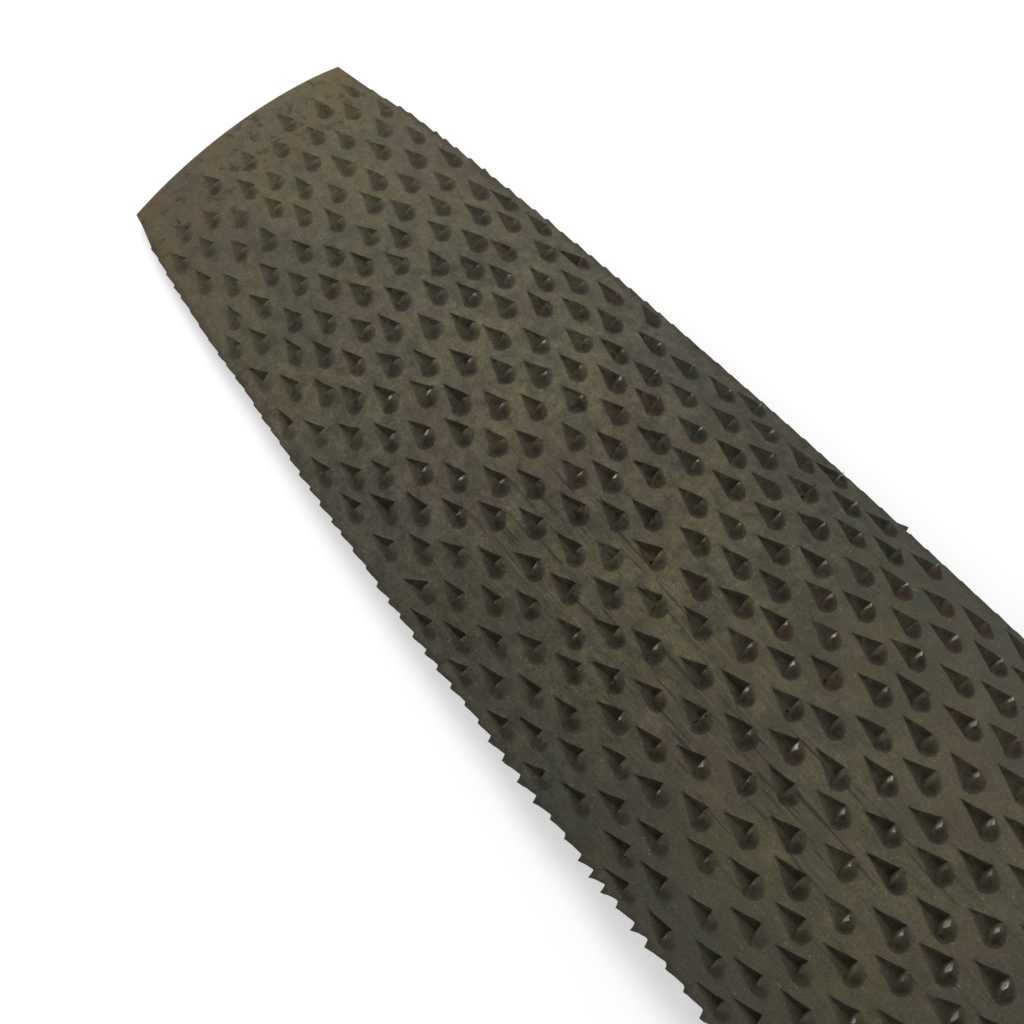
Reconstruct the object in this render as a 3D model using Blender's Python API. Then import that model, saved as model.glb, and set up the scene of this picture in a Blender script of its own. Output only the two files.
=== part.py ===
"""A half-round wood rasp: one forged blade with stitched teeth, a ferrule and a turned handle.

Metres, +Z up. +X runs from the heel to the tip, and the round face looks up. The origin is the
middle of the bare heel, on the flat face. The blade is one body: its two faces are nets of
triangles drawn over the blade's outline. Each tooth has three points in its net: where its pit
begins on the land, the foot of the pit, and the crest that was raised out of it.
"""

import math

import bmesh
import bpy
from mathutils import Vector
from mathutils.geometry import delaunay_2d_cdt

# The blade
BLADE_LENGTH = 0.250          # shoulder to tip
BLADE_WIDTH = 0.027           # between the edges, at the body
TIP_WIDTH = 0.0185
WIDTH_TAPER_LENGTH = 0.081    # how far from the tip the sides begin to draw in
CROWN_HEIGHT = 0.0064         # crown of the round face above its edges, at the body
TIP_CROWN_HEIGHT = 0.0014
CROWN_TAPER_LENGTH = 0.110    # how far from the tip the blade begins to thin
EDGE_THICKNESS = 0.0008       # the narrow band between the round and the flat face
HEEL_LENGTH = 0.018           # bare stretch next to the shoulder
TIP_BAND = 0.0012             # bare stretch next to the tip
WIDTH_TAPER_POWER = 2.6       # higher is blunter
CROWN_TAPER_POWER = 1.53
ARC_SEGMENTS = 10             # flats across the bare ends of the round face

# The stitched teeth, in rows that slant across the blade
ROW_PITCH = 0.0032            # from row to row, along the blade
ROW_DRIFT = 0.00035           # each row begins this much further to the right
STEP_ACROSS = 0.0016          # from tooth to tooth in a row, across the blade
STEP_ALONG = 0.00178          # the same step, along the blade, toward the heel
ROUND_CUT_SHARE = 1.0         # the round face's spacing, as a share of the steps above
FLAT_CUT_SHARE = 1.16         # the flat face's, which is cut a little coarser
TOOTH_HEIGHT = 0.00045        # crest above the land
PIT_DEPTH = 0.00046           # foot of the pit below the land
PIT_LENGTH = 0.00165          # from where the pit begins to its foot
CREST_LEAD = 0.0005           # the crest stands this far behind the foot of its pit
EDGE_MARGIN = 0.0009          # no tooth nearer to an edge
EDGE_PITCH = 0.0014           # the small teeth along both edges
EDGE_TOOTH_HEIGHT = 0.00030
EDGE_STEEP_SHARE = 0.28       # the steep side of an edge tooth, as a share of its pitch
WORN_LENGTH = 0.045           # teeth are worn low over this stretch, next to the tip
WORN_SHARE = 0.45             # what wear leaves of a tooth at the tip
LOWER_EDGE_STEPS = 2          # the edge's lower line has a point under every second tooth
BLADE_CREASE_ANGLE = math.radians(9)
TURNED_CREASE_ANGLE = math.radians(30)

# Shoulders and tang
SHOULDER_LENGTH = 0.010
TANG_ROOT_WIDTH = 0.0088
TANG_ROOT_THICKNESS = 0.0054
TANG_END_WIDTH = 0.0042
TANG_END_THICKNESS = 0.0030
TANG_LENGTH = 0.066
TANG_AXIS_HEIGHT = 0.0034     # above the flat face; the handle turns about this line too
TANG_CROWN_SHARE = 0.12       # the forged tang's top is a little round
SHOULDER_STEPS = 6
TANG_STEPS = 3

# Handle and ferrule
BARE_ROOT = 0.004             # tang showing between the shoulders and the ferrule
FIT_GAP = 0.0003              # clearance where one piece seats in another
NOSE_RADIUS = 0.0082          # the wood inside the ferrule
NOSE_LENGTH = 0.0145
FERRULE_WALL = 0.0009
FERRULE_LIP_RADIUS = 0.0064   # the hole in the ferrule's front
FERRULE_BEAD = 0.0004         # the rolled bead near its back
FERRULE_BEAD_WIDTH = 0.0022
FERRULE_EDGE_ROUND = 0.0010
HANDLE_LENGTH = 0.118
COLLAR_RADIUS = 0.0108
WAIST_RADIUS = 0.0102
SWELL_RADIUS = 0.0158
BUTT_RADIUS = 0.0134
BUTT_FLAT_RADIUS = 0.0055
BUTT_ROUND_LENGTH = 0.0085
COLLAR_ROUND_LENGTH = 0.0020
WAIST_SHARE = 0.17            # places along the handle
SWELL_SHARE = 0.66
HANDLE_SIDES = 28
WAIST_STEPS = 3
SWELL_STEPS = 6
BUTT_STEPS = 4
ROUND_STEPS = 4

# Places along the blade that several pieces use
SHOULDER_X = -HEEL_LENGTH / 2
HEEL_LINE_X = SHOULDER_X + HEEL_LENGTH
TIP_X = SHOULDER_X + BLADE_LENGTH
TIP_LINE_X = TIP_X - TIP_BAND
TANG_ROOT_X = SHOULDER_X - SHOULDER_LENGTH
TANG_END_X = TANG_ROOT_X - TANG_LENGTH
FERRULE_FRONT_X = TANG_ROOT_X - BARE_ROOT
NOSE_FRONT_X = FERRULE_FRONT_X - FERRULE_WALL - FIT_GAP
COLLAR_X = NOSE_FRONT_X - NOSE_LENGTH


def clear_scene():
    for thing in list(bpy.data.objects):
        bpy.data.objects.remove(thing)


def metal_or_wood(name, colour, roughness, metallic):
    """A plain Principled material in the part's own colour."""
    material = bpy.data.materials.new(name)
    material.use_nodes = True
    shader = material.node_tree.nodes["Principled BSDF"]
    shader.inputs["Base Color"].default_value = (*colour, 1.0)
    shader.inputs["Roughness"].default_value = roughness
    shader.inputs["Metallic"].default_value = metallic
    return material


def object_from(name, vertices, faces, material, crease_angle):
    """One closed object, smooth-shaded but for edges sharper than crease_angle."""
    mesh = bpy.data.meshes.new(name)
    mesh.from_pydata(vertices, [], faces)
    mesh.validate()
    shape = bmesh.new()
    shape.from_mesh(mesh)
    bmesh.ops.recalc_face_normals(shape, faces=shape.faces)
    shape.to_mesh(mesh)
    shape.free()
    mesh.shade_smooth()
    mesh.set_sharp_from_angle(angle=crease_angle)
    mesh.materials.append(material)
    made = bpy.data.objects.new(name, mesh)
    bpy.context.scene.collection.objects.link(made)
    return made


# The blade's section at any place along it


def taper(x, length, power):
    """One at the tip, falling to zero where the taper begins."""
    return max(0.0, 1 - (TIP_X - x) / length) ** power


def blade_width(x):
    return BLADE_WIDTH - (BLADE_WIDTH - TIP_WIDTH) * taper(x, WIDTH_TAPER_LENGTH, WIDTH_TAPER_POWER)


def crown_height(x):
    fall = taper(x, CROWN_TAPER_LENGTH, CROWN_TAPER_POWER)
    return CROWN_HEIGHT - (CROWN_HEIGHT - TIP_CROWN_HEIGHT) * fall


def arc_radius(width, crown):
    return ((width / 2) ** 2 + crown ** 2) / (2 * crown)


def half_arc(x):
    """From the crown to an edge, measured over the round face."""
    width = blade_width(x)
    radius = arc_radius(width, crown_height(x))
    return radius * math.asin(min(1.0, width / 2 / radius))


def half_chord(x):
    return blade_width(x) / 2


def on_round_face(x, across, lift=0.0):
    """The point at this place on the round face, lifted along the face's normal."""
    crown = crown_height(x)
    radius = arc_radius(blade_width(x), crown)
    angle = across / radius
    centre = EDGE_THICKNESS + crown - radius
    reach = radius + lift
    return (x, reach * math.sin(angle), centre + reach * math.cos(angle))


def on_flat_face(x, across, lift=0.0):
    return (x, across, -lift)


def wear(x):
    """What is left of a tooth: less toward the tip, where a rasp works hardest."""
    return WORN_SHARE + (1 - WORN_SHARE) * min(1.0, (TIP_X - x) / WORN_LENGTH)


# The stitched teeth


def tooth_places(half_width, scale):
    """The foot of each tooth's pit, as (along, across), row by row from the tip to the heel.

    A row that has drifted a whole step to the side goes on from its neighbour's place, so the
    rows stay evenly spaced.
    """
    pitch, drift_step = ROW_PITCH * scale, ROW_DRIFT * scale
    step_along, step_across = STEP_ALONG * scale, STEP_ACROSS * scale
    first, last = TIP_LINE_X - PIT_LENGTH, HEEL_LINE_X + CREST_LEAD + EDGE_MARGIN
    columns = int(half_width(last) / step_across) + 2
    slant = columns * step_along
    rows = int((first - last + 2 * slant) / pitch) + 1
    places = []
    for row in range(rows):
        wraps, drift = divmod(-row * drift_step, step_across)
        start = first + slant - row * pitch + wraps * step_along
        for column in range(-columns, columns + 1):
            along = start - column * step_along
            across = drift + column * step_across
            if last < along < first and abs(across) < half_width(along) - EDGE_MARGIN:
                places.append((along, across))
    return places


def edge_stations():
    """Places along an edge from the heel to the tip, each with how far its tooth stands out."""
    run = TIP_LINE_X - HEEL_LINE_X
    count = max(1, round(run / EDGE_PITCH))
    pitch = run / count
    stations = [(SHOULDER_X, 0.0), (HEEL_LINE_X, 0.0)]
    for number in range(count):
        root = HEEL_LINE_X + (number + 1) * pitch
        crest = root - EDGE_STEEP_SHARE * pitch
        stations.append((crest, EDGE_TOOTH_HEIGHT * wear(crest)))
        stations.append((root, 0.0))
    stations.append((TIP_X, 0.0))
    return stations


def face_net(outline, inner, creases):
    """Triangles over an outline, using every point of it and every loose point inside."""
    points = [Vector(place) for place in outline + inner]
    loop = list(range(len(outline)))
    found = delaunay_2d_cdt(points, creases, [loop], 1, 0.0)
    corners, triangles, came_from = found[0], found[2], found[3]
    if len(corners) != len(points):
        raise ValueError("two points of a face fall together")
    return [[came_from[corner][0] for corner in triangle] for triangle in triangles]


def stitch(first, second, vertices):
    """Triangles between two edge lines, which run the same way with unlike numbers of points."""
    triangles = []
    a = b = 0
    while a < len(first) - 1 or b < len(second) - 1:
        next_a = vertices[first[a + 1]][0] if a < len(first) - 1 else math.inf
        next_b = vertices[second[b + 1]][0] if b < len(second) - 1 else math.inf
        if next_a <= next_b:
            triangles.append((first[a], first[a + 1], second[b]))
            a += 1
        else:
            triangles.append((first[a], second[b + 1], second[b]))
            b += 1
    return triangles


def arc_shares():
    """The inner points of an arc across the round face, from the right edge to the left."""
    return [2 * step / ARC_SEGMENTS - 1 for step in range(1, ARC_SEGMENTS)]


# Shoulders and tang, lofted from the same kind of section as the blade


def ease(share):
    """A soft start and end between zero and one."""
    return (1 - math.cos(math.pi * share)) / 2


def section(x, width, bottom, side, crown):
    """A ring with a flat bottom, upright sides and a round top, from the right side to the left."""
    radius = arc_radius(width, crown)
    widest = math.asin(min(1.0, width / 2 / radius))
    centre = bottom + side + crown - radius
    ring = [(x, -width / 2, bottom), (x, -width / 2, bottom + side)]
    for share in arc_shares():
        angle = share * widest
        ring.append((x, radius * math.sin(angle), centre + radius * math.cos(angle)))
    ring += [(x, width / 2, bottom + side), (x, width / 2, bottom)]
    return ring


def between(start, end, share):
    return start + (end - start) * share


def tang_section(x, grow):
    """The tang's ring at x, with every side moved out by grow."""
    share = (TANG_ROOT_X - x) / TANG_LENGTH
    width = between(TANG_ROOT_WIDTH, TANG_END_WIDTH, share) + 2 * grow
    thickness = between(TANG_ROOT_THICKNESS, TANG_END_THICKNESS, share) + 2 * grow
    bottom = TANG_AXIS_HEIGHT - thickness / 2
    crown = thickness * TANG_CROWN_SHARE
    return section(x, width, bottom, thickness - crown, crown)


def shoulder_rings():
    """From the blade's full section in to the root of the tang."""
    root_crown = TANG_ROOT_THICKNESS * TANG_CROWN_SHARE
    root_bottom = TANG_AXIS_HEIGHT - TANG_ROOT_THICKNESS / 2
    root_side = TANG_ROOT_THICKNESS - root_crown
    rings = []
    for step in range(1, SHOULDER_STEPS):
        share = step / SHOULDER_STEPS
        soft = ease(share)
        rings.append(section(
            SHOULDER_X - SHOULDER_LENGTH * share,
            between(blade_width(SHOULDER_X), TANG_ROOT_WIDTH, soft),
            between(0.0, root_bottom, soft),
            between(EDGE_THICKNESS, root_side, soft),
            between(crown_height(SHOULDER_X), root_crown, soft)))
    return rings


def add_loft(faces, vertices, ring, rings):
    """Quads from one ring of vertex numbers through further rings of points, closed at the end."""
    for points in rings:
        start = len(vertices)
        vertices.extend(points)
        following = list(range(start, start + len(points)))
        for here in range(len(ring)):
            beyond = (here + 1) % len(ring)
            faces.append((ring[here], ring[beyond], following[beyond], following[here]))
        ring = following
    faces.append(tuple(reversed(ring)))


def add_edges(vertices):
    """The four lines along the blade's edges: lower and upper, on the right and on the left."""
    lines = {}
    for side in (-1, 1):
        upper, lower = [], []
        stations = edge_stations()
        for x, stand_out in stations:
            upper.append(len(vertices))
            vertices.append((x, side * (blade_width(x) / 2 + stand_out), EDGE_THICKNESS))
        roots = [x for x, stand_out in stations if not stand_out]
        for x in [roots[0]] + roots[1:-2:LOWER_EDGE_STEPS] + roots[-2:]:
            lower.append(len(vertices))
            vertices.append((x, side * blade_width(x) / 2, 0.0))
        lines[side] = (upper, lower)
    return lines


def add_face(vertices, right, left, tip_arc, heel_arc, half_width, surface, shares, scale):
    """One toothed face: its net of triangles over the outline that the edges give it."""
    loop = right + tip_arc + left[::-1] + heel_arc[::-1]
    outline = []
    for number in loop:
        x, y, _ = vertices[number]
        if number in right or number in left:
            stand_out = abs(y) - blade_width(x) / 2
            outline.append((x, math.copysign(half_width(x) + stand_out, y)))
        else:
            share = shares[(tip_arc if number in tip_arc else heel_arc).index(number)]
            outline.append((x, share * half_width(x)))
    inner, numbers, creases = [], list(loop), []
    for x in (HEEL_LINE_X, TIP_LINE_X):
        nearest = [min(line, key=lambda n: abs(vertices[n][0] - x)) for line in (right, left)]
        row = [loop.index(nearest[0])]
        for share in shares:
            row.append(len(numbers))
            inner.append((x, share * half_width(x)))
            numbers.append(len(vertices))
            vertices.append(surface(x, share * half_width(x)))
        row.append(loop.index(nearest[1]))
        creases += list(zip(row, row[1:]))
    for along, across in tooth_places(half_width, scale):
        size = wear(along)
        land = len(numbers)
        for x, lift in ((along + PIT_LENGTH, 0.0),
                        (along, -PIT_DEPTH * size),
                        (along - CREST_LEAD, TOOTH_HEIGHT * size)):
            inner.append((x, across))
            numbers.append(len(vertices))
            vertices.append(surface(x, across, lift))
        creases += [(land, land + 1), (land + 1, land + 2)]
    return [tuple(numbers[corner] for corner in triangle)
            for triangle in face_net(outline, inner, creases)]


def rasp_blade(material):
    """The forging: toothed faces and edges, bare tip and heel, shoulders and tang."""
    vertices, faces = [], []
    lines = add_edges(vertices)
    (upper_right, lower_right), (upper_left, lower_left) = lines[-1], lines[1]
    arcs = []
    for x in (TIP_X, SHOULDER_X):
        start = len(vertices)
        vertices += [on_round_face(x, share * half_arc(x)) for share in arc_shares()]
        arcs.append(list(range(start, len(vertices))))
    tip_arc, heel_arc = arcs
    faces += add_face(vertices, upper_right, upper_left, tip_arc, heel_arc, half_arc,
                      on_round_face, arc_shares(), ROUND_CUT_SHARE)
    flat = add_face(vertices, lower_right, lower_left, [], [], half_chord,
                    on_flat_face, [], FLAT_CUT_SHARE)
    faces += [triangle[::-1] for triangle in flat]
    faces += stitch(upper_right, lower_right, vertices)
    faces += [triangle[::-1] for triangle in stitch(upper_left, lower_left, vertices)]
    tip = [lower_right[-1], upper_right[-1]] + tip_arc + [upper_left[-1], lower_left[-1]]
    faces.append(tuple(tip))
    shoulder = [lower_right[0], upper_right[0]] + heel_arc + [upper_left[0], lower_left[0]]
    tang = [tang_section(TANG_ROOT_X - TANG_LENGTH * step / TANG_STEPS, 0.0)
            for step in range(TANG_STEPS + 1)]
    add_loft(faces, vertices, shoulder, shoulder_rings() + tang)
    return object_from("rasp_blade", vertices, faces, material, BLADE_CREASE_ANGLE)


# Turned pieces: an outline of (x, radius) spun round the tang's line


def turned(name, outline, material, ring_shaped=False):
    """A body of revolution; ring_shaped joins the outline's last point to its first."""
    vertices, faces = [], []
    for x, radius in outline:
        for side in range(HANDLE_SIDES):
            angle = 2 * math.pi * side / HANDLE_SIDES
            vertices.append((x, radius * math.sin(angle), TANG_AXIS_HEIGHT + radius * math.cos(angle)))
    steps = len(outline)
    for step in range(steps if ring_shaped else steps - 1):
        here, there = step * HANDLE_SIDES, (step + 1) % steps * HANDLE_SIDES
        for side in range(HANDLE_SIDES):
            beyond = (side + 1) % HANDLE_SIDES
            faces.append((here + side, there + side, there + beyond, here + beyond))
    if not ring_shaped:
        faces.append(tuple(range(HANDLE_SIDES)))
        faces.append(tuple(reversed(range((steps - 1) * HANDLE_SIDES, steps * HANDLE_SIDES))))
    return object_from(name, vertices, faces, material, TURNED_CREASE_ANGLE)


def eased_run(start, end, steps):
    """Outline points from one place to the next, level at both ends, without the first."""
    return [(between(start[0], end[0], step / steps), between(start[1], end[1], ease(step / steps)))
            for step in range(1, steps + 1)]


def quarter_round(start, end, steps):
    """Outline points round a quarter of an ellipse that leaves its start along the body."""
    points = []
    for step in range(1, steps + 1):
        turn = math.pi / 2 * step / steps
        points.append((between(start[0], end[0], math.sin(turn)),
                       between(end[1], start[1], math.cos(turn))))
    return points


def handle_outline():
    """From the nose in the ferrule, over collar, waist and swell, to the flat of the butt."""
    rear = COLLAR_X - HANDLE_LENGTH + NOSE_LENGTH
    length = COLLAR_X - rear
    collar_top = (COLLAR_X - COLLAR_ROUND_LENGTH, COLLAR_RADIUS)
    waist = (COLLAR_X - WAIST_SHARE * length, WAIST_RADIUS)
    swell = (COLLAR_X - SWELL_SHARE * length, SWELL_RADIUS)
    butt = (rear + BUTT_ROUND_LENGTH, BUTT_RADIUS)
    collar_foot = (COLLAR_X, NOSE_RADIUS + FIT_GAP + FERRULE_WALL)
    outline = [(NOSE_FRONT_X, NOSE_RADIUS), (COLLAR_X, NOSE_RADIUS), collar_foot]
    outline += [(collar_foot[0] + collar_top[0] - x, collar_foot[1] + collar_top[1] - radius)
                for x, radius in reversed(quarter_round(collar_foot, collar_top, ROUND_STEPS)[:-1])]
    outline.append(collar_top)
    outline += eased_run(collar_top, waist, WAIST_STEPS)
    outline += eased_run(waist, swell, SWELL_STEPS)
    outline += eased_run(swell, butt, BUTT_STEPS)
    outline += quarter_round(butt, (rear, BUTT_FLAT_RADIUS), ROUND_STEPS)
    return outline


def handle(material, cutter_material):
    """The turned handle with its tapered socket, cut to the tang's own shape and a clearance."""
    made = turned("handle", handle_outline(), material)
    vertices, faces = [], []
    front = NOSE_FRONT_X + FERRULE_WALL
    rear = TANG_END_X - FIT_GAP
    vertices += tang_section(front, FIT_GAP)
    ring = list(range(len(vertices)))
    faces.append(tuple(ring))
    add_loft(faces, vertices, ring, [tang_section(rear, FIT_GAP)])
    socket = object_from("socket_cutter", vertices, faces, cutter_material, TURNED_CREASE_ANGLE)
    socket.hide_render = True
    socket.display_type = "WIRE"
    cut = made.modifiers.new("socket", "BOOLEAN")
    cut.operation = "DIFFERENCE"
    cut.solver = "EXACT"
    cut.object = socket
    return made


def ferrule(material):
    """A drawn cap: sleeve, rolled bead near its back and a lip that folds in over the wood."""
    inner = NOSE_RADIUS + FIT_GAP
    outer = inner + FERRULE_WALL
    back = COLLAR_X + FIT_GAP
    bead = back + FERRULE_BEAD_WIDTH
    corner = (FERRULE_FRONT_X - FERRULE_EDGE_ROUND, outer)
    outline = [(FERRULE_FRONT_X - FERRULE_WALL, FERRULE_LIP_RADIUS),
               (FERRULE_FRONT_X - FERRULE_WALL, inner),
               (back, inner),
               (back, outer)]
    for step in range(1, ROUND_STEPS):
        share = step / ROUND_STEPS
        outline.append((between(back, bead, share), outer + FERRULE_BEAD * math.sin(math.pi * share)))
    outline.append((bead, outer))
    outline.append(corner)
    outline += quarter_round(corner, (FERRULE_FRONT_X, outer - FERRULE_EDGE_ROUND), ROUND_STEPS)
    outline.append((FERRULE_FRONT_X, FERRULE_LIP_RADIUS))
    return turned("ferrule", outline, material, ring_shaped=True)


def build():
    clear_scene()
    steel = metal_or_wood("worn_tool_steel", (0.075, 0.067, 0.047), 0.45, 0.75)
    plate = metal_or_wood("dull_drawn_steel", (0.33, 0.32, 0.30), 0.38, 1.0)
    wood = metal_or_wood("oiled_beech", (0.42, 0.23, 0.10), 0.5, 0.0)
    pieces = [rasp_blade(steel), ferrule(plate), handle(wood, wood)]
    for piece in pieces:
        print(piece.name, len(piece.data.polygons), "faces")


build()
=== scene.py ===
# %% [markdown]
# # A half-round wood rasp
#
# A rasp is one forged bar of tool steel. One face is flat, the other is round, and both are
# covered with teeth that a worker struck one at a time with a pointed punch. Its tang is
# pushed into a turned wooden handle, and a steel ferrule keeps the wood from splitting.
#
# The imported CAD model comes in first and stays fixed. Each piece made below stands where its
# CAD node stands, in metres, with +X from the heel to the tip and +Z out of the round face.

import math
import random

import bpy
import bmesh
from mathutils import Matrix, Vector, noise
from mathutils.geometry import delaunay_2d_cdt


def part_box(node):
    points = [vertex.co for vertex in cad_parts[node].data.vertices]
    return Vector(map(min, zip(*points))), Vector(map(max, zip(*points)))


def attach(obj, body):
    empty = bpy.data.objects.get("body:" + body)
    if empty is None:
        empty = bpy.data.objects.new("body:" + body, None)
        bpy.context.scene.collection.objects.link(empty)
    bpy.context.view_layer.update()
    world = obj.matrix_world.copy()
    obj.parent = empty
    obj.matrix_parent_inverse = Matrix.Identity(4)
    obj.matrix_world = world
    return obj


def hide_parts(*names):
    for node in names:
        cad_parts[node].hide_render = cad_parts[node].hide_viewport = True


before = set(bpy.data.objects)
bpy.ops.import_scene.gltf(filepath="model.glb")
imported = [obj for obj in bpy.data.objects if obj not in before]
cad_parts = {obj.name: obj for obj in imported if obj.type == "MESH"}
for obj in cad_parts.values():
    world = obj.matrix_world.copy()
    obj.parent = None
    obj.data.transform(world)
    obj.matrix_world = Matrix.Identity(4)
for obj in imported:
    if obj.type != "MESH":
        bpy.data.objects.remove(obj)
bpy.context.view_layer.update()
chance = random.Random(20)
print("CAD nodes:", sorted(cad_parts))

# %% [markdown]
# ## The camera
#
# The view looks down on the round face from a hand's width above it, so the near part of the
# blade is much larger than the tip. A camera is placed by its position and by three directions
# at right angles: right and up in the picture, and back toward the viewer. They make the
# columns of its matrix.

# %% Camera
FOCAL_PIXELS, PICTURE_PIXELS, SENSOR_WIDTH = 1200.0, 1024.0, 36.0
CAMERA_PLACE = (0.1807, 0.0129, 0.0694)
PICTURE_RIGHT = Vector((-0.62737, -0.76905, -0.12235))
PICTURE_UP = Vector((0.70067, -0.62604, 0.34226))
PICTURE_BACK = PICTURE_RIGHT.cross(PICTURE_UP)

lens = bpy.data.cameras.new("camera")
lens.sensor_width = SENSOR_WIDTH
lens.lens = FOCAL_PIXELS / PICTURE_PIXELS * SENSOR_WIDTH
lens.clip_start = 0.001
camera = bpy.data.objects.new("camera", lens)
bpy.context.scene.collection.objects.link(camera)
camera.matrix_world = (Matrix.Translation(CAMERA_PLACE)
                       @ Matrix((PICTURE_RIGHT, PICTURE_UP, PICTURE_BACK)).transposed().to_4x4())
bpy.context.scene.camera = camera
bpy.context.scene.view_settings.view_transform = "Standard"
print("lens", round(lens.lens, 2), "mm")

# %% [markdown]
# ## The blade's shape
#
# The blade is even in width for most of its length. Near the tip its sides draw in, and the
# round face sinks toward the flat one. Two tapers describe that: each is zero up to some way
# from the tip and grows by a power from there. Every point of the round face is then known
# from two numbers: the place along the blade, and the distance from the middle measured over
# the curve. Teeth can be laid out on that curve as if it were a flat sheet of paper.

# %% The blade's section
BLADE_WIDTH, TIP_WIDTH = 0.027, 0.0185
WIDTH_TAPER_LENGTH, WIDTH_TAPER_POWER = 0.081, 2.6
CROWN_HEIGHT, TIP_CROWN_HEIGHT = 0.0064, 0.0014
CROWN_TAPER_LENGTH, CROWN_TAPER_POWER = 0.110, 1.53
EDGE_THICKNESS = 0.0008
HEEL_LENGTH = 0.018
TIP_BAND = 0.0012
TIP_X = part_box("rasp_blade")[1].x
SHOULDER_X = -HEEL_LENGTH / 2
HEEL_LINE_X = SHOULDER_X + HEEL_LENGTH
TIP_LINE_X = TIP_X - TIP_BAND


def taper(x, length, power):
    """One at the tip, falling to zero where the taper begins."""
    return max(0.0, 1 - (TIP_X - x) / length) ** power


def blade_width(x):
    fall = taper(x, WIDTH_TAPER_LENGTH, WIDTH_TAPER_POWER)
    return BLADE_WIDTH - (BLADE_WIDTH - TIP_WIDTH) * fall


def crown_height(x):
    fall = taper(x, CROWN_TAPER_LENGTH, CROWN_TAPER_POWER)
    return CROWN_HEIGHT - (CROWN_HEIGHT - TIP_CROWN_HEIGHT) * fall


def arc_radius(width, crown):
    """Of the circle through both edges and the top of the crown."""
    return ((width / 2) ** 2 + crown ** 2) / (2 * crown)


def half_arc(x):
    """From the middle of the round face to an edge, measured over the curve."""
    radius = arc_radius(blade_width(x), crown_height(x))
    return radius * math.asin(min(1.0, blade_width(x) / 2 / radius))


def half_chord(x):
    return blade_width(x) / 2


def between(start, end, share):
    return start + (end - start) * share


def on_round_face(x, across, lift=0.0):
    """A place on the round face, raised by lift at right angles to it."""
    crown = crown_height(x)
    radius = arc_radius(blade_width(x), crown)
    angle = across / radius
    reach = radius + lift
    return (x, reach * math.sin(angle), EDGE_THICKNESS + crown - radius + reach * math.cos(angle))


def on_flat_face(x, across, lift=0.0):
    """The same on the flat face, which looks down."""
    return (x, across, -lift)


print("tip at", round(TIP_X * 1000, 1), "mm; half arc at the heel", round(half_arc(0) * 1000, 2), "mm")

# %% [markdown]
# ## One tooth
#
# The punch has a pointed three-sided tip. Struck at a slant, it digs a three-cornered pit that
# starts as a point and ends at a steep wall, and it pushes the metal in front of it up into a
# small round-backed tooth. The cutting crest is the top of that wall.
#
# A bump texture would vanish at the outline and under a low light, so each tooth is geometry.
# The tooth is written once, as lines of points in millimetres: how far behind its point, how
# far to its left, and how high. A height below zero is a share of the pit's depth, and one
# above zero a share of the crest's height. Two more numbers say how dark and how bright the
# steel's material makes the place. The dark is dirt and painted shade: it fills the pit and is
# heaviest on the left side of the mound, which faces away from the lamp. The bright is wear and
# a painted highlight on the right half of the crest, which faces the lamp. The two sides differ
# in shape too, because the punch leans: the right corner of the wall is sharp and its crest
# stands highest, and on the left the pit runs out into the side of the mound.

# %% The lines of one tooth
#               back  left  height dirt and painted shade, wear and painted highlight
POINT = (0.00, 0.00, 0.00, 0.40, 0.0)
RIGHT_SIDE = [(0.56, -0.25, 0.04, 0.35, 0.0), (1.09, -0.49, 0.05, 0.35, 0.0),
              (1.60, -0.72, 0.05, 0.30, 0.1)]
MOUND = [(1.88, -0.67, 0.00, 0.10, 0.0), (2.19, -0.52, 0.00, 0.15, 0.0), (2.41, -0.27, 0.00, 0.25, 0.0),
         (2.50, 0.02, 0.00, 0.35, 0.0), (2.41, 0.33, 0.00, 0.40, 0.0), (2.21, 0.55, 0.00, 0.40, 0.0)]
LEFT_SIDE = [(1.92, 0.66, 0.00, 0.45, 0.0), (1.50, 0.53, 0.02, 0.35, 0.0),
             (1.00, 0.36, 0.02, 0.30, 0.0), (0.50, 0.18, 0.02, 0.30, 0.0)]
OUTLINE = [POINT, *RIGHT_SIDE, *MOUND, *LEFT_SIDE]
PIT = [(0.56, -0.175, -0.30, 0.70, 0.0), (1.08, -0.375, -0.46, 0.65, 0.0), (1.49, -0.54, -0.50, 0.65, 0.0),
       (0.51, 0.10, -0.18, 0.55, 0.0), (1.07, 0.24, -0.30, 0.50, 0.0), (1.55, 0.38, -0.36, 0.55, 0.0)]
SPINE = [(0.27, 0.00, -0.26, 0.80, 0.0), (0.73, -0.01, -0.52, 0.75, 0.0), (1.18, -0.02, -0.76, 0.75, 0.0)]
FOOT = [(1.55, -0.42, -0.78, 0.75, 0.0), (1.57, -0.18, -1.00, 0.80, 0.0), (1.62, 0.02, -0.98, 0.80, 0.0),
        (1.70, 0.24, -0.74, 0.80, 0.0), (1.80, 0.44, -0.40, 0.90, 0.0)]
CREST = [(1.66, -0.60, 0.42, 0.10, 0.3), (1.68, -0.44, 0.88, 0.00, 0.7), (1.71, -0.28, 1.00, 0.00, 1.1),
         (1.74, -0.10, 0.90, 0.20, 0.8), (1.77, 0.09, 0.62, 0.60, 0.35), (1.82, 0.28, 0.36, 0.90, 0.0),
         (1.88, 0.46, 0.14, 1.00, 0.0)]
CREST_BACK = [(1.74, -0.44, 0.76, 0.10, 0.5), (1.77, -0.27, 0.90, 0.05, 1.0),
              (1.795, -0.10, 0.80, 0.45, 0.5)]
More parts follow.
